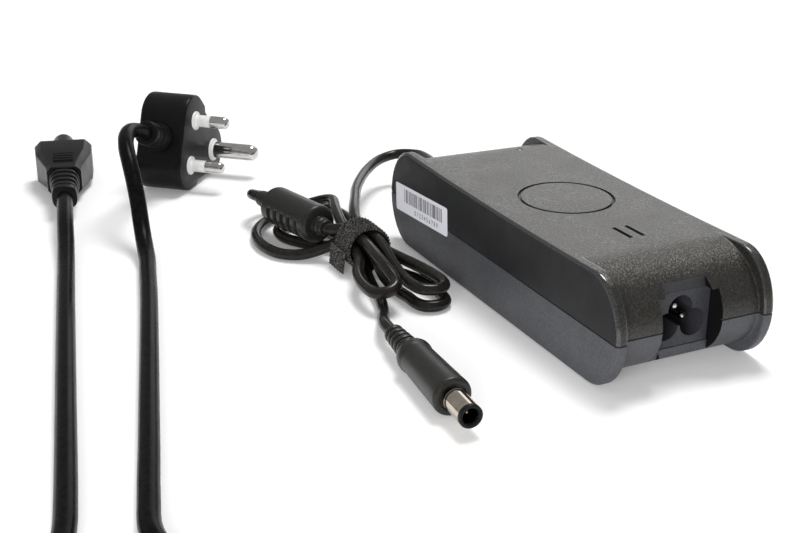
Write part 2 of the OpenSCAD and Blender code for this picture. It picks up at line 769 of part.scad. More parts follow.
// Two E cores joined into a frame round the winding
module transformer_core() {
    color("dimgray") translate([core_x, core_y + core_w / 2, board_top]) difference() {
        block([0, -core_w / 2, core_lift], [core_l, core_w / 2, core_h]);
        for (s = [0, 1]) mirror([0, s, 0])
            block([core_leg, core_leg / 2, 0],
                [core_l - core_leg, core_w / 2 - core_leg, core_h + 1]);
    }
}

// Winding on its bobbin, filling the core's two windows
module transformer_winding() {
    near = core_leg + bobbin_fit;
    color("goldenrod") translate([core_x, core_y + core_w / 2, board_top]) union() {
        for (s = [0, 1]) mirror([0, s, 0])
            block([near, core_leg / 2 + bobbin_fit, 0], [core_l - near, core_w / 2 - near, core_h - 1]);
        block([near, -core_w / 2 + near, 0], [core_l - near, core_w / 2 - near, core_lift - bobbin_fit]);
    }
}

module secondary_heat_sink() {
    color("silver") translate([sink_x + sink_t, -board_y + edge_gap, board_top])
        rotate([0, 0, 90]) heat_sink(2 * (board_y - edge_gap));
}

module output_rectifiers() {
    color("dimgray") for (y = [-12, -1])
        translate([sink_x - chip_t, y, board_top + 2]) cube([chip_t, chip_w, chip_h]);
}

module output_capacitors() {
    color("navy") for (i = [0:2])
        translate([cap_x, -board_y + edge_gap + cap_d / 2 + i * cap_pitch, board_top])
            cylinder(h = cap_h, d = cap_d);
}

module output_choke() {
    ring = 2 * board_y - 2 * edge_gap - core_w - part_gap - 3;
    hole = ring / 2.6;
    high = 7;
    color("peru") translate([core_x + core_l / 2, core_y + core_w + part_gap + ring / 2, board_top])
        difference() {
            cylinder(h = high, d = ring);
            translate([0, 0, -1]) cylinder(h = high + 2, d = hole);
        }
}

module control_chips() {
    pitch = 11;
    color("black") for (i = [0:floor(bulk_l / pitch) - 1])
        translate([bulk_x + 2 + i * pitch, part_gap, board_top]) cube([6, 6, 2.5]);
}

// The two conductors inside, from the board to the cord's strain relief
module output_wires() {
    color("crimson") for (s = [-1, 1]) translate([0, s * 1.5, 0]) {
        translate([0, 0, seam_z]) rod(-inner_half + gland_in, wire_x + wire_d / 2, wire_d);
        translate([wire_x, 0, board_top]) cylinder(h = seam_z - board_top, d = wire_d);
    }
}

// ----------------------------------------------------------------- DC lead

// Boot gripped in the end wall, half in each cover
module dc_strain_relief() {
    color(cord_black) translate([0, 0, seam_z]) {
        rod(-inner_half + 2.2, -inner_half + gland_in, boot_d + 4);
        rod(-barrel_half - 0.4, -inner_half + 2.3, boot_d);
        rod(-barrel_half - 1.6, -barrel_half - 0.2, boot_d + 2);
        ribbed_boot(boot_end, -barrel_half - 1, dc_d + 2, boot_d - 1, 5, dc_d + 3.2, 0);
    }
}

module dc_cord_lead() {
    color(cord_black) tube(smooth(lead_route, 2), dc_d, 8);
}

module dc_cord_loops() {
    color(cord_black) tube(smooth(loops_route, 2), dc_d, 6);
}

module dc_cord_tail() {
    color(cord_black) tube(smooth(tail_route, 2), dc_d, 8);
}

module at_choke() {
    translate(choke_a) rotate([0, 0, choke_yaw]) children();
}

// Moulding over the ferrite, ribbed at both ends, with slots down one side
module choke_housing() {
    x0 = choke_relief_a;
    x1 = choke_l - choke_relief_b;
    mid = (x0 + x1) / 2;
    bevel = 1.6;
    color(plastic_black) at_choke() difference() {
        union() {
            rod(x0, x0 + bevel, choke_d - 2 * bevel, choke_d);
            rod(x0 + bevel - eps, x1 - bevel + eps, choke_d);
            rod(x1 - bevel, x1, choke_d, choke_d - 2 * bevel);
            ribbed_boot(0, x0 + eps, dc_d + 1.6, dc_d + 4, 4, dc_d + 3, 0);
            mirror([1, 0, 0]) translate([-choke_l, 0, 0])
                ribbed_boot(0, choke_relief_b + eps, dc_d + 1.4, dc_d + 3, 2, dc_d + 2.4, 0);
        }
        rod(-1, choke_l + 1, dc_d + 0.3);
        rod(mid - ferrite_l / 2, mid + ferrite_l / 2, ferrite_d);
        for (i = [0:4]) translate([x0 + 5 + i * 4.4, 0, 0])
            block([0, -choke_d, -choke_d * 0.32], [1.8, -ferrite_d / 2 - 0.9, choke_d * 0.02]);
    }
}

module ferrite_core() {
    mid = (choke_relief_a + choke_l - choke_relief_b) / 2;
    color("dimgray") at_choke() difference() {
        rod(mid - ferrite_l / 2, mid + ferrite_l / 2, ferrite_d);
        rod(mid - ferrite_l / 2 - 1, mid + ferrite_l / 2 + 1, dc_d + 0.3);
    }
}

module tie_band() {
    color(plastic_black) translate([0, tie_y, tie_r]) difference() {
        rod(tie_x - tie_w / 2, tie_x + tie_w / 2, 2 * tie_r);
        rod(tie_x - tie_w / 2 - 1, tie_x + tie_w / 2 + 1, 2 * tie_bore);
    }
}

// Loose end of the tie, which hangs from its front and peels up
module tie_tail() {
    color(plastic_black) translate(tie_hinge) rotate([-tie_tail_lean, 0, 0])
        block([-tie_w / 2, -tie_t / 2, -tie_tail_l], [tie_w / 2, tie_t / 2, 0]);
}

// ----------------------------------------------------------------- DC plug

module at_plug() {
    translate(plug_at) rotate([0, 0, plug_yaw]) children();
}

module plug_relief() {
    color(cord_black) at_plug()
        ribbed_boot(0, plug_relief_l, dc_d + 1.2, dc_d + 4, 5, dc_d + 2.9, 0);
}

module plug_grip() {
    x0 = plug_relief_l;
    x1 = plug_relief_l + plug_l;
    neck = plug_d - 2;
    color(plastic_black) at_plug() difference() {
        union() {
            rod(x0, x0 + 3, neck - 1.6, plug_d - 0.8);
            rod(x0 + 3 - eps, x0 + 5, plug_d - 0.8);
            rod(x0 + 5 - eps, x0 + 6, plug_d - 0.8, neck + 0.6);
            rod(x0 + 6 - eps, x1 - 1.2, neck + 0.6, plug_d);
            rod(x1 - 1.2 - eps, x1, plug_d, plug_d - 2);
        }
        rod(x1 - barrel_root, x1 + 1, barrel_root_d);
    }
}

module plug_barrel() {
    x1 = plug_relief_l + plug_l;
    color(nickel) at_plug() difference() {
        union() {
            rod(x1 - barrel_root, x1 + barrel_step + eps, barrel_root_d);
            rod(x1 + barrel_step, x1 + barrel_l - tip_l, barrel_d);
        }
        rod(x1 - barrel_root + 2, x1 + barrel_l, barrel_bore);
        rod(x1 - barrel_root - 1, x1 - barrel_root + 3, sense_d);
    }
}

module plug_tip() {
    x1 = plug_relief_l + plug_l + barrel_l;
    color(plastic_black) at_plug() difference() {
        rod(x1 - tip_l, x1, barrel_d);
        rod(x1 - tip_l - 1, x1 + 1, barrel_bore);
    }
}

module plug_sense_pin() {
    x1 = plug_relief_l + plug_l;
    color("peru") at_plug() rod(x1 - barrel_root, x1 + barrel_l - 3, sense_d);
}

// -------------------------------------------------------------- mains lead

module at_c5() {
    translate(c5_at) rotate([0, 0, c5_yaw]) children();
}

c5_places = [[0, pin_rise / 2], [-pin_pitch / 2, -pin_rise / 2], [pin_pitch / 2, -pin_rise / 2]];

// Cross-section of the connector's body
module c5_slice(x, w, h, bevel) {
    along_x(x, x + eps) polygon([
        [w / 2 - bevel, -h / 2], [w / 2, -h / 2 + bevel], [w / 2, h / 2 - bevel],
        [w / 2 - bevel, h / 2], [-w / 2 + bevel, h / 2], [-w / 2, h / 2 - bevel],
        [-w / 2, -h / 2 + bevel], [-w / 2 + bevel, -h / 2]]);
}

module c5_body() {
    x0 = c5_relief_l;
    x1 = x0 + c5_l;
    waist_w = c5_w * 0.58;
    waist_h = c5_h * 0.72;
    color(plastic_black) at_c5() difference() {
        union() {
            hull() {
                c5_slice(x0, waist_w, waist_h, 2);
                c5_slice(x0 + c5_l * 0.2, waist_w + 1, waist_h + 0.5, 2);
            }
            hull() {
                c5_slice(x0 + c5_l * 0.2 - eps, waist_w + 1, waist_h + 0.5, 2);
                c5_slice(x0 + c5_l * 0.62, c5_w - 1, c5_h - 0.6, 2.6);
            }
            hull() {
                c5_slice(x0 + c5_l * 0.62 - eps, c5_w - 1, c5_h - 0.6, 2.6);
                c5_slice(x1 - eps, c5_w, c5_h, 2.6);
            }
            for (p = c5_places) translate([0, p[0], p[1]])
                rod(x1 - eps, x1 + c5_barrel_l, c5_barrel_d);
            block([x1 - eps, -pin_pitch / 2, -pin_rise / 2 - 1],
                [x1 + c5_barrel_l, pin_pitch / 2, -pin_rise / 2 + 2]);
            block([x1 - eps, -1.6, -pin_rise / 2], [x1 + c5_barrel_l, 1.6, pin_rise / 2]);
            for (i = [0:3], s = [0, 1]) mirror([0, 0, s])
                block([x0 + 7 + i * 2.4, -4, waist_h / 2 - 1],
                    [x0 + 8.2 + i * 2.4, 4, waist_h / 2 + 1.1]);
        }
        for (p = c5_places) translate([0, p[0], p[1]])
            rod(x1 + c5_barrel_l - contact_l - 2, x1 + c5_barrel_l + 1, contact_d);
    }
}

module c5_contacts() {
    x1 = c5_relief_l + c5_l + c5_barrel_l - 1;
    color("goldenrod") at_c5() for (p = c5_places) translate([0, p[0], p[1]]) difference() {
        rod(x1 - contact_l, x1, contact_d);
        rod(x1 - contact_l + 1, x1 + 1, contact_bore);
    }
}

module c5_relief() {
    color(cord_black) at_c5()
        ribbed_boot(0, c5_relief_l, mains_d + 1.6, mains_d + 4.2, 5, mains_d + 4.4, 0);
}

module mains_cord_front() {
    color(cord_black) tube(smooth(front_route, 1), mains_d, 8);
}

// Turns of the coil: in along the lower layer, out along the upper one
function coil_point(t) =
    let (angle = -90 + 360 * t)
    let (inner = t < 1 ? t : t > 1.5 ? coil_turns - t : 1)
    let (climb = min(max((t - 1) * 2, 0), 1))
    let (lift = (coil_tie_t + 0.15) * pow((1 + cos(angle)) / 2, 8))
    let (r = coil_out - coil_step * inner)
    [coil_at[0] + r * cos(angle), coil_at[1] + r * sin(angle), mains_r + climb * coil_layer + lift];

coil_rings = 24;
coil_path = [for (i = [0:coil_rings * coil_turns]) coil_point(i / coil_rings)];

module mains_coil() {
    color(cord_black) tube(coil_path, mains_d, 6);
}

module mains_cord_back() {
    color(cord_black) tube(smooth(back_route, 1), mains_d, 8);
}

// Strap round the turns of the coil
module coil_tie() {
    fit = 0.2;
    x0 = coil_at[0] + coil_in - mains_r - fit;
    x1 = coil_at[0] + coil_out + mains_r + fit;
    high = 2 * coil_tie_t + mains_d + coil_layer + 2 * fit;
    color(plastic_black) translate([0, coil_at[1], 0]) difference() {
        block([x0 - coil_tie_t, -coil_tie_w / 2, 0], [x1 + coil_tie_t, coil_tie_w / 2, high]);
        block([x0, -coil_tie_w / 2 - 1, coil_tie_t], [x1, coil_tie_w / 2 + 1, high - coil_tie_t]);
    }
}

// The mains plug lies on the flank between its line and earth corners.
// Its own axes: X across the live pins, Y to the earth pin, Z out of the face.
module at_mains_plug() {
    translate(mains_plug_at) rotate([90, 0, mains_plug_yaw]) rotate([0, 0, flank_turn])
        translate([-live_x, 0, 0]) children();
}

module mains_plug_shape(inset, high) {
    hull() {
        translate([0, earth_rise, 0]) cylinder(h = high, r = lobe_r - inset, $fn = 32);
        for (s = [-1, 1]) translate([s * live_x, 0, 0])
            cylinder(h = high, r = lobe_r - inset, $fn = 32);
    }
}

module mains_plug_body() {
    bevel = 1.2;
    color(plastic_black) at_mains_plug() difference() {
        hull() {
            translate([0, 0, -mains_plug_t]) mains_plug_shape(bevel, bevel);
            translate([0, 0, -mains_plug_t + bevel]) mains_plug_shape(0, mains_plug_t - 1.8 * bevel);
            translate([0, 0, -bevel]) mains_plug_shape(bevel * 0.6, bevel);
        }
        translate([0, earth_rise, -pin_root]) cylinder(h = pin_root + 1, d = earth_root_d);
        translate([0, earth_rise, -collar_t]) cylinder(h = collar_t + 1, d = earth_d + collar_grow);
        for (s = [-1, 1]) translate([s * live_x, 0, 0]) {
            translate([0, 0, -pin_root]) cylinder(h = pin_root + 1, d = live_root_d);
            translate([0, 0, -collar_t]) cylinder(h = collar_t + 1, d = live_d + collar_grow);
        }
    }
}

module mains_relief() {
    color(cord_black) at_mains_plug() translate([0, -lobe_r - mains_relief_l, -mains_plug_t / 2])
        rotate([0, 0, 90]) ribbed_boot(0, mains_relief_l, mains_d + 2, mains_d + 5, 4, mains_d + 4.6, 0);
}

module collar(d, bore) {
    difference() {
        translate([0, 0, -collar_t]) cylinder(h = 2 * collar_t, d = d + collar_grow);
        translate([0, 0, -2 * collar_t]) cylinder(h = 4 * collar_t, d = bore);
    }
}

module pin_collars() {
    color(white_nylon) at_mains_plug() {
        translate([0, earth_rise, 0]) collar(earth_d, earth_root_d);
        for (s = [-1, 1]) translate([s * live_x, 0, 0]) collar(live_d, live_root_d);
    }
}

// Round pin with a slim root and a rounded tip, as one turned shape
module contact_pin(d, length, root_d, root_l) {
    tip = d * 0.3;
    color(nickel) rotate_extrude() polygon(concat(
        [[0, -pin_root], [root_d / 2, -pin_root], [root_d / 2, root_l], [d / 2, root_l]],
        [for (a = [0:15:75]) [d / 2 - tip + tip * cos(a), length - tip + tip * sin(a)]],
        [[d / 2 - tip, length], [0, length]]));
}

module earth_pin() {
    at_mains_plug() translate([0, earth_rise, 0])
        contact_pin(earth_d, earth_l, earth_root_d, pin_step);
}

module live_pins() {
    at_mains_plug() for (s = [-1, 1]) translate([s * live_x, 0, 0])
        contact_pin(live_d, live_l, live_root_d, sleeve_l);
}

// White sleeves over the roots of the line and neutral pins
module pin_sleeves() {
    color(white_nylon) at_mains_plug() for (s = [-1, 1])
        translate([s * live_x, 0, 0]) difference() {
            union() {
                translate([0, 0, collar_t]) cylinder(h = pin_step - collar_t + eps, d = live_d - 0.4);
                translate([0, 0, pin_step]) cylinder(h = sleeve_l - pin_step, d = live_d);
            }
            cylinder(h = sleeve_l + 1, d = live_root_d);
        }
}

union() {
    whole_dc = smooth(concat(lead_route, [for (i = [1:len(loops_route) - 1]) loops_route[i]],
        [for (i = [1:len(tail_route) - 1]) tail_route[i]]), 3);
    echo(dc_cord_gap = strand_gap(whole_dc, dc_d, 7));
    echo(mains_coil_gap = strand_gap([for (i = [0:120]) coil_point(i / 48)], mains_d, 24));
}

top_cover();
bottom_cover();
barcode_label();
led_lens();
status_led();
inlet_housing();
inlet_pins();
inlet_wires();
circuit_board();
insulating_sheet();
heat_shield();
mains_fuse();
line_capacitor();
input_choke();
bridge_rectifier();
reservoir_capacitor();
primary_heat_sink();
switching_transistor();
transformer_core();
transformer_winding();
secondary_heat_sink();
output_rectifiers();
output_capacitors();
output_choke();
control_chips();
output_wires();
dc_strain_relief();
dc_cord_lead();
dc_cord_loops();
dc_cord_tail();
choke_housing();
ferrite_core();
tie_band();
tie_tail();
plug_relief();
plug_grip();
plug_barrel();
plug_tip();
plug_sense_pin();
c5_body();
c5_contacts();
c5_relief();
mains_cord_front();
mains_coil();
mains_cord_back();
coil_tie();
mains_relief();
mains_plug_body();
pin_collars();
earth_pin();
live_pins();
pin_sleeves();
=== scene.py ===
"""Laptop power adapter, dressed for the render.

Sizes and places are in millimetres in the CAD's own frame, and are turned into
metres where a mesh, a curve or a camera is made. Lamps and the floor are in metres.
"""

import json
import math
import random

import bmesh
import bpy
from mathutils import Matrix, Vector


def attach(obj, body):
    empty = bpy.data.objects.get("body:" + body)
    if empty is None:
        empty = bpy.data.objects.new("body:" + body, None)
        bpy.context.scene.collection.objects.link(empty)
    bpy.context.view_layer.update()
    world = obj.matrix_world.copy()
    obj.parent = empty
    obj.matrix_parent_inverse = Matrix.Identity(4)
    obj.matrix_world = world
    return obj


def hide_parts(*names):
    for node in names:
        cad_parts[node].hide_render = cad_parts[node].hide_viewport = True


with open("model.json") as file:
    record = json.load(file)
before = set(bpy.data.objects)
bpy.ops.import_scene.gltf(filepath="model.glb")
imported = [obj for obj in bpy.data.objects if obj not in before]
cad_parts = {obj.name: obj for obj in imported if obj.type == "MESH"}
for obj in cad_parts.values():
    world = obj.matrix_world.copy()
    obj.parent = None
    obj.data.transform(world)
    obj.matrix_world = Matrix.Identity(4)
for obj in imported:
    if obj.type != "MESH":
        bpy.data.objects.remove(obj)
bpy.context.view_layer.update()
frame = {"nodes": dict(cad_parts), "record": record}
scene = bpy.context.scene
scene.view_settings.view_transform = "Standard"

MM = 0.001
SLOT_OF = {part["node"]: part["material_slot"] for part in frame["record"]["subparts"]}


def add(name, data):
    made = bpy.data.objects.new(name, data)
    scene.collection.objects.link(made)
    return made


# -------- camera

CAMERA_AT = (358.6, -232.5, 180.5)
CAMERA_YAW = 148.56
CAMERA_PITCH = -22.24
CAMERA_ROLL = 2.62
FOCAL_PX = 1291.8
IMAGE_W_PX = 800
SHIFT_PX = (-128.8, 9.2)
SENSOR_W = 36


def make_camera():
    yaw, pitch, roll = (math.radians(a) for a in (CAMERA_YAW, CAMERA_PITCH, CAMERA_ROLL))
    ahead = Vector((
        math.cos(pitch) * math.cos(yaw), math.cos(pitch) * math.sin(yaw), math.sin(pitch)
    ))
    level = ahead.cross(Vector((0, 0, 1))).normalized()
    upright = level.cross(ahead)
    right = math.cos(roll) * level + math.sin(roll) * upright
    up = math.cos(roll) * upright - math.sin(roll) * level
    data = bpy.data.cameras.new("camera")
    data.sensor_width = SENSOR_W
    data.lens = FOCAL_PX / IMAGE_W_PX * SENSOR_W
    data.shift_x, data.shift_y = (shift / IMAGE_W_PX for shift in SHIFT_PX)
    scene.camera = add("camera", data)
    turn = Matrix((right, up, -ahead)).transposed().to_4x4()
    scene.camera.matrix_world = Matrix.Translation(Vector(CAMERA_AT) * MM) @ turn


make_camera()

# -------- materials

MATERIALS = {}

# Sockets of a mix node that mixes colours
MIX_A = 6
MIX_B = 7
MIX_RESULT = 2

# Scale of a wave texture whose bands of either shade are 1 mm wide
WAVE_SCALE = 1000 / 6.3


def adjust(made, **values):
    """Sets a node; an underscore in a name stands for a space in its socket's."""
    for key, value in values.items():
        name = key.replace("_", " ")
        if name in made.inputs:
            made.inputs[name].default_value = value
        else:
            setattr(made, key, value)


def material(name, colour, rough, metallic=0.0, specular=0.5):
    """Starts a material and keeps it by its name."""
    made = bpy.data.materials.new(name)
    made.use_nodes = True
    shader = made.node_tree.nodes["Principled BSDF"]
    adjust(
        shader, Base_Color=(*colour, 1), Roughness=rough, Metallic=metallic,
        Specular_IOR_Level=specular,
    )
    MATERIALS[name] = made
    return made, shader


def node(mat, kind, **values):
    made = mat.node_tree.nodes.new(kind)
    adjust(made, **values)
    return made


def link(mat, source, output, target, socket):
    mat.node_tree.links.new(source.outputs[output], target.inputs[socket])


def in_place(mat, kind, **values):
    """A texture node that is fixed to the object's own place."""
    made = node(mat, kind, **values)
    link(mat, node(mat, "ShaderNodeTexCoord"), "Object", made, "Vector")
    return made


def noise(mat, size_mm, detail, rough=0.5):
    """Noise whose grains are about size_mm across."""
    return in_place(mat, "ShaderNodeTexNoise", Scale=1000 / size_mm, Detail=detail, Roughness=rough)


def ramp(mat, source, stops):
    """Colours along a texture, as (position, colour) pairs."""
    made = node(mat, "ShaderNodeValToRGB")
    elements = made.color_ramp.elements
    while len(elements) < len(stops):
        elements.new(0.5)
    for element, (position, colour) in zip(elements, stops):
        element.position = position
        element.color = (*colour, 1)
    link(mat, source, "Fac", made, "Fac")
    return made


def tint(mat, shader, source, stops):
    link(mat, ramp(mat, source, stops), "Color", shader, "Base Color")


def vary_roughness(mat, shader, source, low, high):
    span = node(mat, "ShaderNodeMapRange", From_Min=0.3, From_Max=0.7, To_Min=low, To_Max=high)
    link(mat, source, "Fac", span, "Value")
    link(mat, span, "Result", shader, "Roughness")


def bump(mat, shader, source, height_mm):
    made = node(mat, "ShaderNodeBump", Strength=1.0, Distance=height_mm * MM)
    link(mat, source, "Fac", made, "Height")
    link(mat, made, "Normal", shader, "Normal")


def moulded(name, dark, light, rough, grain_mm, depth_mm, specular):
    """Moulded plastic: fine grain in two shades, and a gloss that clouds a little."""
    mat, shader = material(name, dark, rough[0], specular=specular)
    grain = noise(mat, grain_mm, 1.5, 0.6)
    tint(mat, shader, grain, [(0.35, dark), (0.62, light)])
    vary_roughness(mat, shader, noise(mat, 9, 3), *rough)
    bump(mat, shader, grain, depth_mm)


def sparkling(name, dark, light, speck, painted_sheen_speck, rough, specular):
    """Spark-eroded plastic: rough grains with pale specks, made palest by painted sheen on faces that
    look up.
    """
    mat, shader = material(name, dark, rough[0], specular=specular)
    adjust(shader, Specular_Tint=(1, 0.985, 0.93, 1))
    grain = noise(mat, 0.65, 2, 0.7)
    way = node(mat, "ShaderNodeSeparateXYZ")
    link(mat, node(mat, "ShaderNodeTexCoord"), "Normal", way, "Vector")
    # Painted sheen: its share grows as a face turns to look up
    painted_sheen_share = node(mat, "ShaderNodeMapRange", From_Min=0.75, From_Max=0.97)
    link(mat, way, "Z", painted_sheen_share, "Value")
    colours = node(mat, "ShaderNodeMix", data_type="RGBA")
    link(mat, painted_sheen_share, "Result", colours, "Factor")
    for socket, tip in ((MIX_A, speck), (MIX_B, painted_sheen_speck)):
        shades = ramp(mat, grain, [(0.36, dark), (0.54, light), (0.63, tip)])
        link(mat, shades, "Color", colours, socket)
    link(mat, colours, MIX_RESULT, shader, "Base Color")
    vary_roughness(mat, shader, noise(mat, 14, 3), *rough)
    bump(mat, shader, grain, 0.16)


def metal(name, colour, rough, scratch_mm):
    mat, shader = material(name, colour, rough[0], metallic=1.0)
    cloud = noise(mat, 3, 4)
    tint(mat, shader, cloud, [(0.3, [0.82 * c for c in colour]), (0.7, colour)])
    vary_roughness(mat, shader, cloud, *rough)
    bump(mat, shader, noise(mat, scratch_mm, 3), 0.003)


def striped(name, dark, light, band_mm, rough, axis, metallic, depth_mm):
    """Wire or tape laid side by side across an axis."""
    mat, shader = material(name, dark, rough, metallic=metallic)
    wave = in_place(mat, "ShaderNodeTexWave", Scale=WAVE_SCALE / band_mm, Distortion=0.4)
    wave.bands_direction = axis
    tint(mat, shader, wave, [(0.2, dark), (0.8, light)])
    bump(mat, shader, wave, depth_mm)


def printed_board(name):
    """Green solder mask with a grid of paler tracks."""
    mat, shader = material(name, (0.01, 0.1, 0.03), 0.3)
    tracks = in_place(
        mat, "ShaderNodeTexBrick", Scale=260.0, Mortar_Size=0.05,
        Color1=(0.012, 0.12, 0.035, 1), Color2=(0.01, 0.1, 0.03, 1), Mortar=(0.03, 0.2, 0.07, 1),
    )
    link(mat, tracks, "Color", shader, "Base Color")
    bump(mat, shader, tracks, 0.03)


def fabric(name, dark, light):
    """Fuzz of a hook-and-loop tape; its loops are in the mesh."""
    mat, shader = material(name, dark, 0.85, specular=0.15)
    adjust(shader, Sheen_Weight=0.12, Sheen_Roughness=0.4)
    fuzz = noise(mat, 0.55, 3, 0.7)
    tint(mat, shader, fuzz, [(0.45, dark), (0.66, light)])
    bump(mat, shader, fuzz, 0.12)


def clear(name):
    mat, shader = material(name, (0.86, 0.92, 0.9), 0.25)
    adjust(shader, Transmission_Weight=0.35)
    cloud = noise(mat, 1.5, 2)
    vary_roughness(mat, shader, cloud, 0.2, 0.4)
    bump(mat, shader, cloud, 0.01)


DARK_GREY = (0.018, 0.018, 0.0185)

# Name, darker and paler shade, roughness from and to, grain and its depth in mm, specular
MOULDED = [
    ("case_plastic", (0.014, 0.0145, 0.016), (0.024, 0.025, 0.028), (0.46, 0.56), 0.4, 0.02, 0.3),
    # A darker copy of the case's plastic: painted shade on the side panels
    ("case_side_painted_shade", (0.0055, 0.0057, 0.0065), (0.0105, 0.0109, 0.0124), (0.42, 0.52), 0.5, 0.03, 0.3),
    ("case_edge", (0.012, 0.012, 0.012), (0.03, 0.03, 0.03), (0.12, 0.2), 0.5, 0.012, 0.9),
    ("case_smooth", (0.02, 0.0205, 0.023), (0.028, 0.029, 0.033), (0.4, 0.5), 0.6, 0.01, 0.3),
    # Near black: painted shade on the sideways walls of cuts
    ("case_recess_painted_shade", (0.003, 0.003, 0.0034), (0.005, 0.005, 0.0055), (0.55, 0.65), 0.5, 0.01, 0.2),
    # A paler copy of the case's plastic: painted light on the lower cover
    ("case_low_painted_light", (0.042, 0.0432, 0.048), (0.067, 0.069, 0.077), (0.46, 0.56), 0.55, 0.04, 0.5),
    ("inlet_plastic", (0.03, 0.0305, 0.035), (0.04, 0.041, 0.047), (0.42, 0.52), 0.8, 0.008, 0.3),
    ("cord_pvc", (0.008, 0.0073, 0.0062), (0.015, 0.0134, 0.0114), (0.18, 0.25), 1.8, 0.01, 0.22),
    ("mains_pvc", (0.003, 0.003, 0.0032), (0.006, 0.006, 0.0062), (0.22, 0.3), 1.8, 0.01, 0.04),
    ("moulding_pvc", (0.01, 0.0097, 0.0088), (0.018, 0.0175, 0.0158), (0.32, 0.42), 0.6, 0.015, 0.35),
    ("mains_moulding", (0.004, 0.004, 0.0043), (0.009, 0.009, 0.0094), (0.26, 0.36), 0.6, 0.015, 0.13),
    ("plug_plastic", (0.004, 0.004, 0.0043), (0.009, 0.009, 0.0094), (0.26, 0.36), 0.6, 0.012, 0.14),
    ("white_nylon", (0.76, 0.76, 0.74), (0.83, 0.83, 0.81), (0.35, 0.45), 1.2, 0.006, 0.4),
    ("label_paper", (0.86, 0.86, 0.93), (0.9, 0.9, 0.96), (0.5, 0.6), 0.5, 0.003, 0.3),
    ("ink", (0.03, 0.03, 0.04), (0.08, 0.08, 0.1), (0.5, 0.6), 0.3, 0.002, 0.2),
    ("ferrite", DARK_GREY, (0.035, 0.035, 0.037), (0.5, 0.7), 0.4, 0.02, 0.5),
    ("epoxy_black", DARK_GREY, (0.025, 0.025, 0.026), (0.4, 0.5), 0.5, 0.01, 0.5),
    ("wire_black", DARK_GREY, (0.025, 0.025, 0.025), (0.3, 0.4), 1, 0.005, 0.5),
    ("wire_red", (0.5, 0.02, 0.015), (0.6, 0.03, 0.02), (0.3, 0.4), 1, 0.005, 0.5),
    ("fish_paper", (0.5, 0.46, 0.34), (0.62, 0.57, 0.44), (0.6, 0.7), 0.6, 0.02, 0.5),
    ("ceramic_fuse", (0.6, 0.55, 0.42), (0.7, 0.64, 0.5), (0.3, 0.4), 0.8, 0.006, 0.5),
    ("film_yellow", (0.75, 0.5, 0.06), (0.82, 0.56, 0.08), (0.25, 0.4), 2, 0.01, 0.5),
    ("can_blue", (0.01, 0.02, 0.09), (0.014, 0.03, 0.13), (0.3, 0.4), 2, 0.01, 0.5),
]

# Name, colour, roughness from and to, and the width of its scratches in mm
METALS = [
    ("nickel", (0.66, 0.65, 0.64), (0.07, 0.14), 0.5),
    ("warm_nickel", (0.6, 0.53, 0.45), (0.08, 0.15), 0.5),
    ("brass", (0.78, 0.6, 0.3), (0.2, 0.35), 0.5),
    ("aluminium", (0.75, 0.76, 0.78), (0.35, 0.5), 0.3),
    ("steel_shield", (0.6, 0.61, 0.62), (0.25, 0.4), 0.8),
]

for row in MOULDED:
    moulded(*row)
for row in METALS:
    metal(*row)
# The top's plastic, whose specks are made paler on upward faces as painted sheen
sparkling(
    "case_top_painted_sheen", (0.009, 0.0088, 0.0082), (0.022, 0.0213, 0.019), (0.032, 0.0305, 0.0275),
    (0.12, 0.115, 0.1), (0.25, 0.33), 0.42,
)
striped("copper_winding", (0.3, 0.1, 0.03), (0.8, 0.36, 0.14), 0.9, 0.3, "X", 0.8, 0.12)
striped("winding_tape", (0.6, 0.42, 0.06), (0.75, 0.55, 0.1), 4, 0.35, "Z", 0, 0.05)
printed_board("board")
fabric("hook_loop", (0.004, 0.004, 0.004), (0.13, 0.125, 0.115))
clear("led_body")
clear("clear_plastic")

# -------- cords

DC_D = 4.2
MAINS_D = 6.0
TIE_X = -51.5
TIE_Y = -54
TIE_R = 8.8
STRAND_PITCH = 5


def strand(angle):
    """Place in the tie of one of the six strands round the middle one."""
    a = math.radians(angle)
    return TIE_Y + STRAND_PITCH * math.cos(a), TIE_R + STRAND_PITCH * math.sin(a)


def waist(place, forward):
    """Stretch of a strand through the tie."""
    xs = (-59, -54, -49, -44) if forward else (-44, -49, -54, -59)
    return [(x, *place) for x in xs]


MIDDLE = (TIE_Y, TIE_R)
CHOKE_A = Vector((-106, -73, 12.2))
CHOKE_B = Vector((-64, -63, 12.2))
PLUG_AT = (18, -74, 6.2)
LEAD_ROUTE = [
    (-93.6, 0, 18), (-99, 0.2, 18), (-107, 1.8, 17.6), (-117, 4, 16.4), (-127, 4.5, 15),
    (-135, -1, 13.5), (-133.5, -10, 12.5), (-124, -20, 12), (-112, -28.5, 12.3),
    (-99, -36, 13), (-86, -42, 14), (-74, -47.5, 14.4), (-66, -50.5, 13.7),
]
LOOP_HIGH = [
    (-36, -52, 11.8), (-27, -52.8, 9.6), (-18, -53.1, 8), (-11.5, -52.7, 7.6),
    (-7.3, -51, 7.4), (-5.6, -47, 7.2), (-7.3, -43, 7), (-11.5, -41.3, 7),
    (-19, -41.5, 7), (-28, -43.5, 7.4), (-37, -47, 8.3),
]
LOOP_CHOKE = [
    (-69, -46.5, 6.8), (-80, -42.5, 3.4), (-92, -40.5, 2.1), (-104, -41, 2.1),
    (-113, -44.5, 2.1), (-119.5, -51.5, 2.3), (-121.5, -59.5, 4.2), (-120.5, -67, 7.4),
    (-116.5, -73, 10.4), (-111, -74.3, 12), CHOKE_A, (-95.5, -70.5, 12.2),
    (-85, -68, 12.2), (-74.5, -65.5, 12.2), CHOKE_B,
]
WAIST_CHOKE = [(-59.3, -58.5, 12.8), (-55, -56.6, 13.1), (-49, -56.5, 13.1), (-44, -56.5, 13.1)]
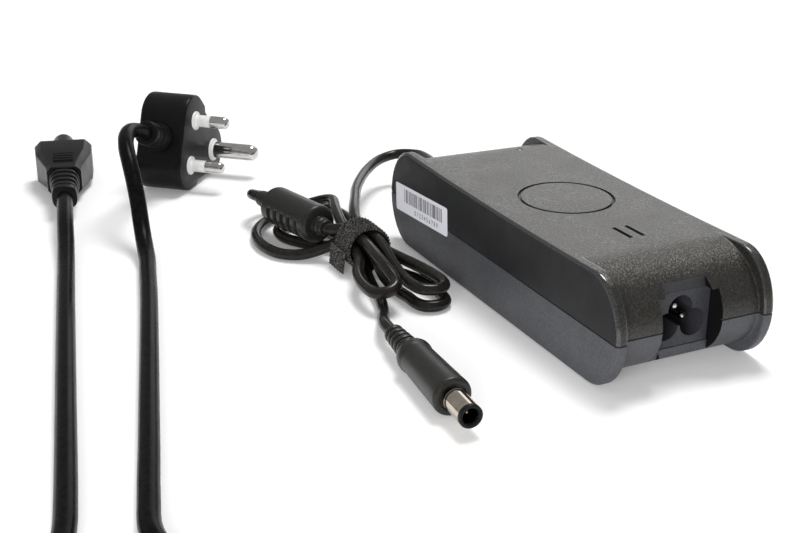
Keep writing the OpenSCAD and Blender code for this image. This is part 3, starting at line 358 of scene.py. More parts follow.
LOOP_SHORT = [
    (-37, -57.5, 13.2), (-28, -58.4, 12.8), (-20, -58.6, 11.8), (-14, -58.5, 10.2),
    (-10.2, -59.8, 9.1), (-8.7, -63, 8.1), (-10.2, -66.2, 7.4), (-14, -67.5, 7.1),
    (-22, -67.3, 7.1), (-30, -65.2, 7.5), (-37, -61.5, 8.4),
]
WAIST_WIDE = [(-44, -59, 8.8), (-49, -59, 8.8), (-54, -59, 8.7), (-59, -59.5, 8.1)]
LOOP_WIDE = [
    (-63, -64.8, 4.8), (-66, -72, 2.5), (-71, -78.5, 2.1), (-80, -81.5, 2.1),
    (-90, -81, 2.1), (-99, -77.5, 2.1), (-106.5, -71, 2.1), (-110.8, -62.5, 2.5),
    (-111, -54.5, 4.6), (-106.5, -48.6, 7.6), (-98.5, -46.5, 10.2), (-88, -49.5, 10.5),
    (-76, -52.5, 9.8), (-67, -54, 9),
]
LOOP_LOW = [
    (-37, -54.6, 7), (-30, -54.8, 3.8), (-22, -54, 2.1), (-14, -53.2, 2.1),
    (-9, -53, 2.1), (-5, -51.4, 2.1), (-3.4, -47.5, 2.1), (-5, -43.6, 2.1),
    (-9, -42, 2.1), (-18, -41.5, 2.1), (-27, -43, 2.1), (-33, -46.2, 2.5),
    (-38.5, -49.8, 3.6),
]
LOOP_INNER = [
    (-68, -52, 2.8), (-80, -53, 2.1), (-91, -56, 2.1), (-98, -62.5, 2.1),
    (-96, -70, 2.1), (-87, -71.5, 2.1), (-78, -67, 2.1), (-70, -60, 2.5),
    (-64, -57, 3.7),
]
TAIL_ROUTE = [
    (-37, -58.6, 3.2), (-28, -60.5, 2.1), (-16, -63, 2.1), (-5, -66.8, 2.5),
    (4, -71, 4.6), (11, -73.5, 6.1), PLUG_AT,
]
DC_ROUTE = (
    LEAD_ROUTE + waist(strand(60), True) + LOOP_HIGH + waist(strand(0), False) + LOOP_CHOKE
    + WAIST_CHOKE + LOOP_SHORT + WAIST_WIDE + LOOP_WIDE + waist(MIDDLE, True) + LOOP_LOW
    + waist(strand(300), False) + LOOP_INNER + waist(strand(240), True) + TAIL_ROUTE
)

C5_AT = (-146, -139.5, 8.5)
COIL_AT = (160, -190)
COIL_OUT = 39.8
COIL_STEP = 7.6
COIL_LAYER = 6.6
COIL_TURNS = 2.5
COIL_SIDES = 24
COIL_TIE_T = 0.75
COIL_TIE_ROOM = 0.15
FRONT_ROUTE = [
    C5_AT, (-136, -141.6, 8.5), (-122, -144.6, 7.6), (-106, -148, 5),
    (-88, -152, 3.2), (-58, -158.6, 3), (-19.3, -167, 3), (13.6, -174.1, 3),
    (42, -180.2, 3), (66.8, -185.6, 3), (81.5, -189.2, 3), (96, -194.5, 3),
    (110, -204, 3), (123, -215, 3), (136, -224, 3), (148, -229, 3),
]
BACK_ROUTE = [
    (146, -151.2, 9.2),
    (132, -155.4, 7), (119, -162, 4.6), (106, -168.2, 3.2), (91, -170.8, 3),
    (74, -167, 3), (51.6, -160.8, 3), (23.8, -153.2, 3), (-8.6, -144.3, 3),
    (-46.6, -134, 3), (-70, -128, 3), (-81.5, -125, 3.2), (-88.7, -123.6, 4.5),
    (-95.9, -122.4, 7.5), (-102.2, -121.4, 12.4), (-107.8, -120.6, 18),
    (-113.5, -120.1, 23.7), (-119.5, -119.7, 28.8), (-126.6, -118.8, 32.4),
    (-134.1, -116.7, 34.3), (-141.3, -113.4, 34.3), (-147.8, -109.1, 32.4),
    (-153.37, -104.37, 29.33),
]


def clamp(value):
    return max(0, min(1, value))


def coil_point(t):
    """A point of the coil after t turns: in along one layer, out along the next."""
    angle = math.radians(-90 + 360 * t)
    inner = t if t < 1 else COIL_TURNS - t if t > 1.5 else 1
    lift = (COIL_TIE_T + COIL_TIE_ROOM) * ((1 + math.cos(angle)) / 2) ** 8
    r = COIL_OUT - COIL_STEP * inner
    return (
        COIL_AT[0] + r * math.cos(angle), COIL_AT[1] + r * math.sin(angle),
        MAINS_D / 2 + clamp((t - 1) * 2) * COIL_LAYER + lift,
    )


COIL_PATH = [coil_point(i / COIL_SIDES) for i in range(int(COIL_SIDES * COIL_TURNS) + 1)]


def smooth(route, steps):
    """Points on a smooth curve through a route, a few to each span."""
    p = [Vector(q) for q in route]
    p = [2 * p[0] - p[1], *p, 2 * p[-1] - p[-2]]
    out = []
    for i in range(1, len(p) - 2):
        for k in range(steps):
            t = k / steps
            out.append(0.5 * (
                2 * p[i] + (p[i + 1] - p[i - 1]) * t
                + (2 * p[i - 1] - 5 * p[i] + 4 * p[i + 1] - p[i + 2]) * t * t
                + (3 * p[i] - p[i - 1] - 3 * p[i + 1] + p[i + 2]) * t * t * t
            ))
    return [*out, p[-2]]


def settle(made, body, slot, *nodes):
    """Hides the nodes that a piece stands for and puts it on the body that it rides on; slot is not
    used.
    """
    if nodes:
        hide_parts(*nodes)
    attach(made, body)


def cord_curve(name, points, diameter, finish):
    data = bpy.data.curves.new(name, "CURVE")
    data.dimensions = "3D"
    data.bevel_depth = diameter / 2 * MM
    data.bevel_resolution = 5
    data.use_fill_caps = True
    line = data.splines.new("POLY")
    line.points.add(len(points) - 1)
    for place, q in zip(line.points, points):
        place.co = (*(q * MM), 1)
    line.use_smooth = True
    data.materials.append(MATERIALS[finish])
    return add(name, data)


dc_cord = cord_curve("dc_cord", smooth(DC_ROUTE, 6), DC_D, "cord_pvc")
settle(dc_cord, "adapter", "cord_pvc", "dc_cord_lead", "dc_cord_loops", "dc_cord_tail")
mains_points = smooth(FRONT_ROUTE + COIL_PATH + BACK_ROUTE, 4)
mains_cord = cord_curve("mains_cord", mains_points, MAINS_D, "mains_pvc")
settle(mains_cord, "mains_lead", "cord_pvc", "mains_cord_front", "mains_coil", "mains_cord_back")

# -------- mesh building

# Finishes of a cover, by the order of its materials: the top's carries painted sheen, the side panels'
# and the recesses' painted shade
CASE_FINISHES = ("case_top_painted_sheen", "case_side_painted_shade", "case_edge", "case_smooth", "case_recess_painted_shade")
COARSE, SIDE_PANEL, EDGE, SMOOTH, SHADED_RECESS = range(5)

# Turns a shape made along local X so that it stands along Z
UPRIGHT = Matrix.Rotation(-math.pi / 2, 4, "Y")


def loft(rings, looped=False):
    """A skin over rings of points that match, in millimetres."""
    skin = bmesh.new()
    rows = [[skin.verts.new(Vector(p) * MM) for p in ring] for ring in rings]
    count = len(rows[0])
    pairs = list(zip(rows, rows[1:]))
    if looped:
        pairs.append((rows[-1], rows[0]))
    for a, b in pairs:
        for k in range(count):
            j = (k + 1) % count
            skin.faces.new((a[k], a[j], b[j], b[k]))
    if not looped:
        skin.faces.new(rows[0][::-1])
        skin.faces.new(rows[-1])
    bmesh.ops.recalc_face_normals(skin, faces=skin.faces)
    return skin


def box_skin(low, high):
    (x0, y0, z0), (x1, y1, z1) = low, high
    return loft([[(x, y0, z0), (x, y1, z0), (x, y1, z1), (x, y0, z1)] for x in (x0, x1)])


def prism(points, x0, x1):
    """Extrudes a Y-Z outline along X."""
    return loft([[(x, y, z) for y, z in points] for x in (x0, x1)])


def turned(profile, place, around=48, looped=False):
    """A round shape along local X from (x, radius) pairs."""
    angles = [2 * math.pi * k / around for k in range(around)]
    rings = [
        [place @ Vector((x, r * math.cos(a), r * math.sin(a))) for a in angles]
        for x, r in profile
    ]
    return loft(rings, looped)


def mesh_object(name, skin):
    data = bpy.data.meshes.new(name)
    skin.to_mesh(data)
    skin.free()
    return add(name, data)


def joined(skins):
    """Several skins as one."""
    whole = bmesh.new()
    for skin in skins:
        data = bpy.data.meshes.new("part")
        skin.to_mesh(data)
        skin.free()
        whole.from_mesh(data)
    return whole


def smooth_faces(made, sharp):
    made.data.shade_smooth()
    made.data.set_sharp_from_angle(angle=math.radians(sharp))


def dress(made, node_name, body="adapter", finish=None, sharp=35):
    """Puts a mesh in place of a CAD node, with the node's own finish or another one."""
    slot = SLOT_OF[node_name]
    made.data.materials.clear()
    made.data.materials.append(MATERIALS[finish or slot])
    smooth_faces(made, sharp)
    settle(made, body, slot, node_name)
    return made


def piece(name, skin, node_name, **how):
    return dress(mesh_object(name, skin), node_name, **how)


def boolean(made, tool, operation="DIFFERENCE"):
    """Keeps an exact Boolean's result as the piece's own mesh, and drops the tool."""
    modifier = made.modifiers.new("boolean", "BOOLEAN")
    modifier.object = tool
    modifier.operation = operation
    modifier.solver = "EXACT"
    graph = bpy.context.evaluated_depsgraph_get()
    data = bpy.data.meshes.new_from_object(made.evaluated_get(graph))
    made.modifiers.clear()
    made.data = data
    bpy.data.objects.remove(tool)


def cut(made, skin, operation="DIFFERENCE"):
    """Cuts a piece with a skin, whose faces get the smooth finish."""
    for face in skin.faces:
        face.material_index = SMOOTH
    tool = mesh_object("tool", skin)
    for mat in made.data.materials:
        tool.data.materials.append(mat)
    boolean(made, tool, operation)


def rounded(x, r, radius, way, steps=6):
    """Quarter round of an outer edge at x, as (x, radius) pairs; way 1 is towards +x."""
    turns = [math.pi / 2 * i / steps for i in range(steps + 1)]
    pairs = [
        (x - way * radius * (1 - math.sin(t)), r - radius * (1 - math.cos(t))) for t in turns
    ]
    return pairs if way > 0 else pairs[::-1]


def corner_arcs(x0, x1, z0, z1, r, steps):
    """Round corners of a rectangle in X and Z: each point with the way out from its arc."""
    points = []
    centres = [(x1 - r, z1 - r), (x0 + r, z1 - r), (x0 + r, z0 + r), (x1 - r, z0 + r)]
    for i, (x, z) in enumerate(centres):
        for k in range(steps + 1):
            a = math.pi / 2 * (i + k / steps)
            points.append((x + r * math.cos(a), z + r * math.sin(a), math.cos(a), math.sin(a)))
    return points


def ribs(x0, x1, d0, d1, count, ring_d, steps=7):
    """Profile of a ribbed strain relief: rounded rings on a tapered core."""
    pitch = (x1 - x0) / count
    rise = (ring_d - (d0 + d1) / 2) / 2
    pairs = [(x0, d0 / 2)]
    for i in range(count):
        core = (d0 + (d1 - d0) * (i + 0.5) / count) / 2
        middle = x0 + pitch * (i + 0.5)
        for k in range(steps + 1):
            t = math.pi * k / steps
            pairs.append((middle - 0.33 * pitch * math.cos(t), core + rise * math.sin(t) ** 0.4))
    return [*pairs, (x1, d1 / 2)]


def stand(at, yaw):
    return Matrix.Translation(at) @ Matrix.Rotation(math.radians(yaw), 4, "Z")


# -------- brick covers

HALF_L = 79
HALF_W = 30
BARREL_HALF = 76.3
BARREL_END = 24
BODY_H = 37
SEAM_Z = 18
SEAM_GAP = 0.6
SEAM_DEPTH = 0.7
TOP_SAG = 0.8
PANEL_END = 15
RIM_W = 4
WALL = 2.4
EDGE_R = 1.2
RIM_R = 0.7
INNER_HALF = BARREL_HALF - WALL
COMMON_FLAT = BARREL_HALF - BARREL_END
SAG_REACH = HALF_L - PANEL_END
INLET_X = 69.5
INLET_W = 23
INLET_H = 19
BOOT_HOLE_R = 4.8
NOTCH = [(-9, 3), (-5.6, 3), (-7.4, 7.6)]
NOTCH_X = (58, 70)
SEAM_LINE = Matrix.Translation((0, 0, SEAM_Z))


def top_at(x, high):
    return high - TOP_SAG * (1 - (x / SAG_REACH) ** 2)


def side_outline(half, end, low, high, share, steps=26, across=24):
    """Side outline in X and Z; share is the part of each end's points on its arc."""
    flat = half - end
    shoulder = top_at(flat, high)
    right = []
    for i in range(-steps, steps + 1):
        part = abs(i) / steps
        turn = math.copysign(min(part / share, 1), i) * math.pi / 2
        x = flat + end * math.cos(turn)
        if part > share:
            x = flat - (flat - COMMON_FLAT) * (part - share) / (1 - share)
        if i < 0:
            z = SEAM_Z + (SEAM_Z - low) * math.sin(turn)
        elif part > share:
            z = top_at(x, high)
        else:
            z = SEAM_Z + (shoulder - SEAM_Z) * math.sin(turn)
        right.append((x, z))
    last = right[-1][0]
    inner = [last - 2 * last * i / across for i in range(1, across)]
    top = [(x, top_at(x, high)) for x in inner]
    left = [(-x, z) for x, z in reversed(right)]
    base = [(-x, low) for x in inner]
    return right + top + left + base


def panel_outline(inset=0.0):
    return side_outline(HALF_L - inset, PANEL_END, inset, BODY_H - inset, 0.75)


def towards(a, b, distance):
    """The outline a, moved up to a distance towards the outline b."""
    moved = []
    for p, q in zip(a, b):
        gap = math.dist(p, q)
        part = min(distance / gap, 1) if gap > 1e-6 else 0
        moved.append((p[0] + (q[0] - p[0]) * part, p[1] + (q[1] - p[1]) * part))
    return moved


def finish_of(face):
    """Which material a face of the outside gets: the side panels take a copy darkened with painted
    shade.
    """
    middle = face.calc_center_median() / MM
    across = abs(middle.y)
    if across > HALF_W - 0.05:
        return SIDE_PANEL
    if across > HALF_W - EDGE_R:
        return EDGE
    if HALF_W - RIM_W < across < HALF_W - RIM_W + RIM_R and abs(middle.x) > COMMON_FLAT:
        return EDGE
    return COARSE


def brick_skin():
    """The outside: side panels with rounded rims, and the barrel set back between them."""
    panel = panel_outline()
    barrel = side_outline(BARREL_HALF, BARREL_END, 0, BODY_H, 1)
    inner = HALF_W - RIM_W
    angles = [math.pi / 2 * i / 6 for i in range(7)]
    quarter = [(1 - math.cos(a), 1 - math.sin(a)) for a in angles]
    half = [(HALF_W - EDGE_R * c, panel_outline(EDGE_R * s)) for c, s in quarter]
    half += [(inner + RIM_R * s, towards(panel, barrel, RIM_R * c)) for c, s in quarter]
    half += [(inner - RIM_R * c, towards(barrel, panel, RIM_R * s)) for c, s in quarter]
    places = [(-y, shape) for y, shape in half] + [(y, shape) for y, shape in reversed(half)]
    skin = loft([[(x, y, z) for x, z in shape] for y, shape in places])
    bmesh.ops.remove_doubles(skin, verts=skin.verts, dist=1e-6)
    bmesh.ops.dissolve_degenerate(skin, edges=skin.edges, dist=1e-7)
    bmesh.ops.recalc_face_normals(skin, faces=skin.faces)
    for face in skin.faces:
        face.material_index = finish_of(face)
    return skin


def room_skin():
    shape = side_outline(INNER_HALF, BARREL_END - WALL, WALL, BODY_H - WALL, 1)
    return loft([[(x, y, z) for x, z in shape] for y in (-HALF_W + WALL, HALF_W - WALL)])


def make_shell():
    """Both covers in one: the outside, less the room, the inlet's pocket and its notch."""
    shell = mesh_object("shell", brick_skin())
    for finish in CASE_FINISHES:
        shell.data.materials.append(MATERIALS[finish])
    room = mesh_object("room", room_skin())
    cut(room, box_skin(
        (INLET_X - WALL, -INLET_W / 2 - WALL, 0), (HALF_L, INLET_W / 2 + WALL, BODY_H)
    ))
    boolean(shell, room)
    low_z = SEAM_Z - INLET_H / 2
    step_z = SEAM_Z + INLET_H / 2
    cut(shell, box_skin((INLET_X, -INLET_W / 2, -1), (HALF_L + 1, INLET_W / 2, step_z)))
    upper = [
        (-INLET_W * 0.4, step_z - 1), (INLET_W * 0.4, step_z - 1),
        (INLET_W * 0.3, BODY_H + 1), (-INLET_W * 0.3, BODY_H + 1),
    ]
    cut(shell, prism(upper, INLET_X, HALF_L + 1))
    cut(shell, box_skin(
        (INLET_X - WALL - 1, -INLET_W / 2, low_z), (INLET_X + 1, INLET_W / 2, step_z)
    ))
    boot_hole = [(-HALF_L - 1, BOOT_HOLE_R), (-INNER_HALF + 1, BOOT_HOLE_R)]
    cut(shell, turned(boot_hole, SEAM_LINE))
    cut(shell, prism(NOTCH, *NOTCH_X))
    # Cut faces that face sideways get painted shade
    for face in shell.data.polygons:
        if face.material_index == SMOOTH and abs(face.normal.y) > 0.5:
            face.material_index = SHADED_RECESS
    return shell


def seam_frame(z0, z1):
    """A frame that takes the seam's groove out of a cover."""
    made = mesh_object("frame", box_skin(
        (-HALF_L - 1, -HALF_W - 1, z0), (HALF_L + 1, HALF_W + 1, z1)
    ))
    barrel_x, barrel_y = BARREL_HALF - SEAM_DEPTH, HALF_W - SEAM_DEPTH
    cut(made, box_skin((-barrel_x, -barrel_y, z0 - 1), (barrel_x, barrel_y, z1 + 1)))
    panel_x, panel_y = HALF_L - SEAM_DEPTH, RIM_W / 2 - SEAM_DEPTH
    for s in (-1, 1):
        y = s * (HALF_W - RIM_W / 2)
        cut(made, box_skin((-panel_x, y - panel_y, z0 - 1), (panel_x, y + panel_y, z1 + 1)))
    return made


RING_X = 1
RING_D = 33
RING_GROOVE = 1.2
MARK_DEPTH = 0.7
SLOT_X = 39
SLOT_L = 10.5
SLOT_W = 1.5
SLOT_PITCH = 4.8
LENS_X = -54
LENS_Y = 13
LENS_R = 1.2
LENS_HOLE_Z = 20
AT_RING = Matrix.Translation((RING_X, 0, 0)) @ UPRIGHT
AT_LENS = Matrix.Translation((LENS_X, LENS_Y, 0)) @ UPRIGHT


def make_covers():
    mark_z = BODY_H - TOP_SAG - MARK_DEPTH
    upper = make_shell()
    lower = add("cover_base", upper.data.copy())
    upper.name = "cover_top"
    x, y = HALF_L + 1, HALF_W + 1
    cut(upper, box_skin((-x, -y, SEAM_Z), (x, y, BODY_H + 1)), "INTERSECT")
    cut(lower, box_skin((-x, -y, -1), (x, y, SEAM_Z)), "INTERSECT")
    boolean(upper, seam_frame(SEAM_Z - 1, SEAM_Z + SEAM_GAP / 2))
    boolean(lower, seam_frame(SEAM_Z - SEAM_GAP / 2, SEAM_Z + 1))
    outer, inner = (RING_D + RING_GROOVE) / 2, (RING_D - RING_GROOVE) / 2
    groove = [(mark_z, outer), (BODY_H + 1, outer), (BODY_H + 1, inner), (mark_z, inner)]
    cut(upper, turned(groove, AT_RING, 96, looped=True))
    for s in (-1, 1):
        middle = s * SLOT_PITCH / 2
        cut(upper, box_skin(
            (SLOT_X - SLOT_L / 2, middle - SLOT_W / 2, mark_z),
            (SLOT_X + SLOT_L / 2, middle + SLOT_W / 2, BODY_H + 1),
        ))
    cut(upper, turned([(LENS_HOLE_Z, LENS_R), (BODY_H + 1, LENS_R)], AT_LENS, 32))
    # On the lower cover all but the recesses take a copy of the plastic lightened with painted light
    for i in (COARSE, SIDE_PANEL, EDGE, SMOOTH):
        lower.data.materials[i] = MATERIALS["case_low_painted_light"]
    for cover, node_name in ((upper, "top_cover"), (lower, "bottom_cover")):
        smooth_faces(cover, 30)
        settle(cover, "adapter", "case_plastic", node_name)


make_covers()

# -------- label, lamp, inlet

LABEL_AT = (-52, -30, 19.3)
LABEL_L = 43
LABEL_H = 10.8
LABEL_T = 0.15
LABEL_CORNER = 0.9
LABEL_TILT = 3.5
INK_Y = -LABEL_T - 0.03
DIGIT_H = 2.6
AT_LABEL = Matrix.Translation(LABEL_AT) @ Matrix.Rotation(math.radians(-LABEL_TILT), 4, "Y")


def make_label():
    x, z = LABEL_L / 2, LABEL_H / 2
    outline = [(u, v) for u, v, *_ in corner_arcs(-x, x, -z, z, LABEL_CORNER, 4)]
    rings = [[AT_LABEL @ Vector((u, y, v)) for u, v in outline] for y in (-0.001, -LABEL_T)]
    piece("label", loft(rings), "barcode_label")


def make_bars():
    """Bars of chance widths, which stand for no code."""
    bars = bmesh.new()
    chance = random.Random(4)
    low, high = -LABEL_H * 0.1, LABEL_H * 0.38
    x = -LABEL_L * 0.33
    while x < LABEL_L * 0.4:
        width = chance.choice((0.22, 0.22, 0.45, 0.7))
        corners = [(x, low), (x + width, low), (x + width, high), (x, high)]
        bars.faces.new([
            bars.verts.new(AT_LABEL @ Vector((u, INK_Y, v)) * MM) for u, v in corners
        ])
        x += width + chance.choice((0.25, 0.25, 0.5, 0.8))
    made = mesh_object("label_bars", bars)
    made.data.materials.append(MATERIALS["ink"])
    smooth_faces(made, 35)
    settle(made, "adapter", "label_paper")


def make_digits():
    data = bpy.data.curves.new("label_digits", "FONT")
    data.body = "0 1 2 3 4 5 6 7 8 9"
    data.size = DIGIT_H * MM
    data.align_x = "CENTER"
    data.materials.append(MATERIALS["ink"])
    made = add("label_digits", data)
    place = AT_LABEL @ Matrix.Translation((LABEL_L * 0.1, INK_Y, -LABEL_H * 0.38))
    place.translation *= MM
    made.matrix_world = place @ Matrix.Rotation(math.pi / 2, 4, "X")
    settle(made, "adapter", "label_paper")


make_label()
make_bars()
make_digits()

BOARD_TOP = 10.6
PIPE_R = 1.15
PIPE_TOP = BODY_H - TOP_SAG + 0.35


def dome(x, r, rise):
    """A rounded end that starts at x, as (x, radius) pairs."""
    return [(x + rise * math.sin(t), r * math.cos(t)) for t in (0, 0.4, 0.8, 1.2, 1.5)]


def make_lamp_window():
    """Clear light pipe with a domed top, over a round lamp."""
    foot = BOARD_TOP + 5
    step = BOARD_TOP + 8
    pipe = [(foot, 2), (step, 2), (step, PIPE_R), *dome(PIPE_TOP - 0.5, PIPE_R, 0.5)]
    piece("lamp_pipe", turned(pipe, AT_LENS, 32), "led_lens")
    flange = BOARD_TOP + 1
    bulb = [(BOARD_TOP, 1.8), (flange, 1.8), (flange, 1.5), *dome(BOARD_TOP + 3.5, 1.5, 1.5)]
    piece("lamp", turned(bulb, AT_LENS, 32), "status_led")


make_lamp_window()

PIN_D = 2.4
PIN_FOOT = 48.6
# Y and Z of each pin of the inlet, and X of its tip
INLET_PINS = [(0, 21.1, 66.9), (-5, 15.9, 64.9), (5, 15.9, 64.9)]

piece("inlet_contacts", joined([
    turned(
        [(PIN_FOOT, PIN_D / 2), *rounded(tip, PIN_D / 2, 1.0, 1)],
        Matrix.Translation((0, y, z)), 32,
    )
    for y, z, tip in INLET_PINS
]), "inlet_pins")

# -------- DC lead pieces

BOOT_START = -93.6
BOOT_RIM_R = 5.5
BOOT_NECK_R = 4.5
BOOT_FLANGE_R = 6.5

dc_boot = piece("dc_boot", turned([
    *ribs(BOOT_START, -77.7, DC_D + 2, 8, 5, DC_D + 3.2), *rounded(-77.9, BOOT_RIM_R, 0.5, -1),
    (-76.5, BOOT_RIM_R), (-76.5, BOOT_NECK_R), (-71.7, BOOT_NECK_R),
    (-71.7, BOOT_FLANGE_R), (-69.9, BOOT_FLANGE_R),
], SEAM_LINE), "dc_strain_relief")

CHOKE_R = 7.3
CHOKE_L = (CHOKE_B - CHOKE_A).length
CHOKE_YAW = math.degrees(math.atan2(CHOKE_B.y - CHOKE_A.y, CHOKE_B.x - CHOKE_A.x))
CHOKE_LONG_BOOT = 9.5
CHOKE_SHORT_BOOT = 4.5
CHOKE_CORNER = 1.5
GROOVE_COUNT = 5
GROOVE_FIRST = 5.9
GROOVE_PITCH = 4.4
GROOVE_HALF = 1.2
GROOVE_SLOPE = 0.4
GROOVE_DEPTH = 1.5
GROOVE_TURN = (math.radians(-196), math.radians(-112))
AT_CHOKE = stand(CHOKE_A, CHOKE_YAW)


def grooved(x, angle, r):
    """Radius of the choke with the grooves pressed into its lower front."""
    turn = angle if angle < 0 else angle - 2 * math.pi
    off = min(
        abs(x - CHOKE_LONG_BOOT - GROOVE_FIRST - i * GROOVE_PITCH) for i in range(GROOVE_COUNT)
    )
    along = clamp((GROOVE_HALF - off) / GROOVE_SLOPE)
    round_it = clamp(5 * min(turn - GROOVE_TURN[0], GROOVE_TURN[1] - turn))
    return r - GROOVE_DEPTH * along * round_it


def make_choke():
    x0, x1 = CHOKE_LONG_BOOT, CHOKE_L - CHOKE_SHORT_BOOT
    span = x1 - x0 - 2 * CHOKE_CORNER - 0.2
    fine = [(x0 + CHOKE_CORNER + 0.1 + span * i / 120, CHOKE_R) for i in range(1, 120)]
    short = ribs(0, CHOKE_SHORT_BOOT, DC_D + 1.4, DC_D + 3, 2, DC_D + 2.4)
    profile = [
        *ribs(0, x0, DC_D + 1.6, DC_D + 4, 4, DC_D + 3),
        *rounded(x0, CHOKE_R, CHOKE_CORNER, -1, 5), *fine, *rounded(x1, CHOKE_R, CHOKE_CORNER, 1, 5),
        *[(CHOKE_L - x, r) for x, r in reversed(short)],
    ]
    angles = [2 * math.pi * k / 144 - math.pi for k in range(144)]
    rings = []
    for x, r in profile:
        ring = [(a, grooved(x, a, r)) for a in angles]
        rings.append([AT_CHOKE @ Vector((x, g * math.cos(a), g * math.sin(a))) for a, g in ring])
    return piece("choke", loft(rings), "choke_housing")


choke = make_choke()

TIE_W = 13
TIE_T = 1.2
LOOP_PITCH = 1.3
LOOP_RISE = 0.75
HEM_W = 0.8
TAPE_STEPS = 66
TAIL_L = 7.2
TAIL_HINGE = (-51.5, -63.7, 8.2)
TAIL_LEAN = 6
AT_TAIL = Matrix.Translation(TAIL_HINGE) @ Matrix.Rotation(math.radians(-TAIL_LEAN), 4, "X")


def weave(u, v, chance):
    """Height of a tape's loops at u along it and v across it, 0 to 1."""
    along = u / LOOP_PITCH + 0.5 * (math.floor(v / LOOP_PITCH) % 2)
    hill = abs(math.sin(math.pi * along)) * abs(math.sin(math.pi * v / LOOP_PITCH))
    return clamp(hill ** 0.6 * (0.55 + 0.6 * chance.random()))


def hem(v):
    """How far the tape thins towards its two edges, 0 to 1."""
    return max(0, 1 - min(v, TIE_W - v) / HEM_W) ** 2


def make_tie_band():
    chance = random.Random(11)
    around = 330
    bore = TIE_R - TIE_T
    rings = []
    for k in range(around):
        a = 2 * math.pi * k / around
        left = TIE_X - TIE_W / 2 + 0.1 * math.sin(2 * a + 1)
        ring = []
        for i in range(TAPE_STEPS + 1):
            v = TIE_W * i / TAPE_STEPS
            r = TIE_R - LOOP_RISE * (1 - weave(a * TIE_R, v, chance)) - 0.4 * hem(v)
            x = left + v + 0.1 * chance.uniform(-1, 1)
            ring.append((x, TIE_Y + r * math.cos(a), TIE_R + r * math.sin(a)))
        for x in (TIE_X + TIE_W / 2 - 0.2, TIE_X - TIE_W / 2 + 0.2):
            ring.append((x, TIE_Y + bore * math.cos(a), TIE_R + bore * math.sin(a)))
        rings.append(ring)
    return piece("tie", loft(rings, looped=True), "tie_band", sharp=60)


def make_tie_tail():
    """Loose end of the tape, with loops on its outer side and hooks behind."""
    chance = random.Random(12)
    down = 40
    root = 0.6
    rings = []
    for k in range(down + 1):
        part = k / down
        z = root - (TAIL_L + root) * part
        width = TIE_W * (1 - 0.03 * part)
        outer = []
        inner = []
        for i in range(TAPE_STEPS + 1):
            v = TIE_W * i / TAPE_STEPS
            x = -width / 2 + width * i / TAPE_STEPS
            front = -TIE_T / 2 + 0.45 - 0.5 * weave(TAIL_L * part, v, chance) + 0.35 * hem(v)
            jut = 0.1 * chance.uniform(-1, 1)
            back = TIE_T / 2 - 0.15 * chance.random() - 0.35 * hem(v)
            outer.append(AT_TAIL @ Vector((x, front, z + jut)))
            inner.append(AT_TAIL @ Vector((x, back, z)))
        rings.append(outer + inner[::-1])
    return piece("tie_flap", loft(rings), "tie_tail", body="tie_tail", sharp=60)


tie = make_tie_band()
tie_flap = make_tie_tail()

PLUG_YAW = -3.7
PLUG_RELIEF = 15
PLUG_L = 33
PLUG_R = 6.2
BARREL_R = 3.7
BARREL_BORE_R = 2.5
BARREL_ROOT_R = 3.4
BARREL_L = 12.6
BARREL_ROOT = 8
BARREL_FLOOR = 6
TIP_X = BARREL_L - 1.4
SENSE_R = 0.45
SENSE_SET_BACK = 3
AT_PLUG = stand(PLUG_AT, PLUG_YAW)
AT_GRIP = AT_PLUG @ Matrix.Translation((PLUG_RELIEF, 0, 0))
AT_BARREL = AT_GRIP @ Matrix.Translation((PLUG_L, 0, 0))

plug_relief = piece("dc_plug_relief", turned(
    ribs(0, PLUG_RELIEF, DC_D + 0.5, DC_D + 2.5, 5, DC_D + 3.1), AT_PLUG
), "plug_relief")
plug_grip = piece("dc_plug_grip", turned([
    (0, 4.2), (0.6, 4.7), (1.8, 5.4), (3, 5.75), (4.2, 5.8), (5, 5.72), (5.6, 5.5), (6.4, 5.46),
    (12, 5.62), (20, 5.86), (PLUG_L - 4, 6.1), *rounded(PLUG_L, PLUG_R, 1.3, 1),
    (PLUG_L, 4.35), (PLUG_L - 0.9, 4.15), (PLUG_L - 0.9, 3.5),
], AT_GRIP, 64), "plug_grip")
plug_barrel = piece("dc_plug_barrel", turned([
    (-BARREL_ROOT, BARREL_ROOT_R), (0.5, BARREL_ROOT_R), (0.6, BARREL_R - 0.1),
    (0.75, BARREL_R), (1.5, BARREL_R), (1.6, BARREL_R - 0.08), (1.8, BARREL_R - 0.08),
    (1.9, BARREL_R), (TIP_X, BARREL_R), (TIP_X, BARREL_BORE_R),
    (-BARREL_FLOOR, BARREL_BORE_R), (-BARREL_FLOOR, 0.5), (-BARREL_ROOT, 0.5),
], AT_BARREL, 64, looped=True), "plug_barrel", finish="warm_nickel")
plug_tip = piece("dc_plug_tip", turned([
    (TIP_X, BARREL_R), *rounded(BARREL_L, BARREL_R, 0.35, 1),
    (BARREL_L, 2.9), (BARREL_L - 0.4, BARREL_BORE_R), (TIP_X, BARREL_BORE_R),
], AT_BARREL, 64, looped=True), "plug_tip")
sense_pin = piece("dc_plug_sense", turned(
    [(-BARREL_ROOT, SENSE_R), *rounded(BARREL_L - SENSE_SET_BACK, SENSE_R, 0.35, 1)], AT_BARREL, 24
), "plug_sense_pin")

# -------- mains connector

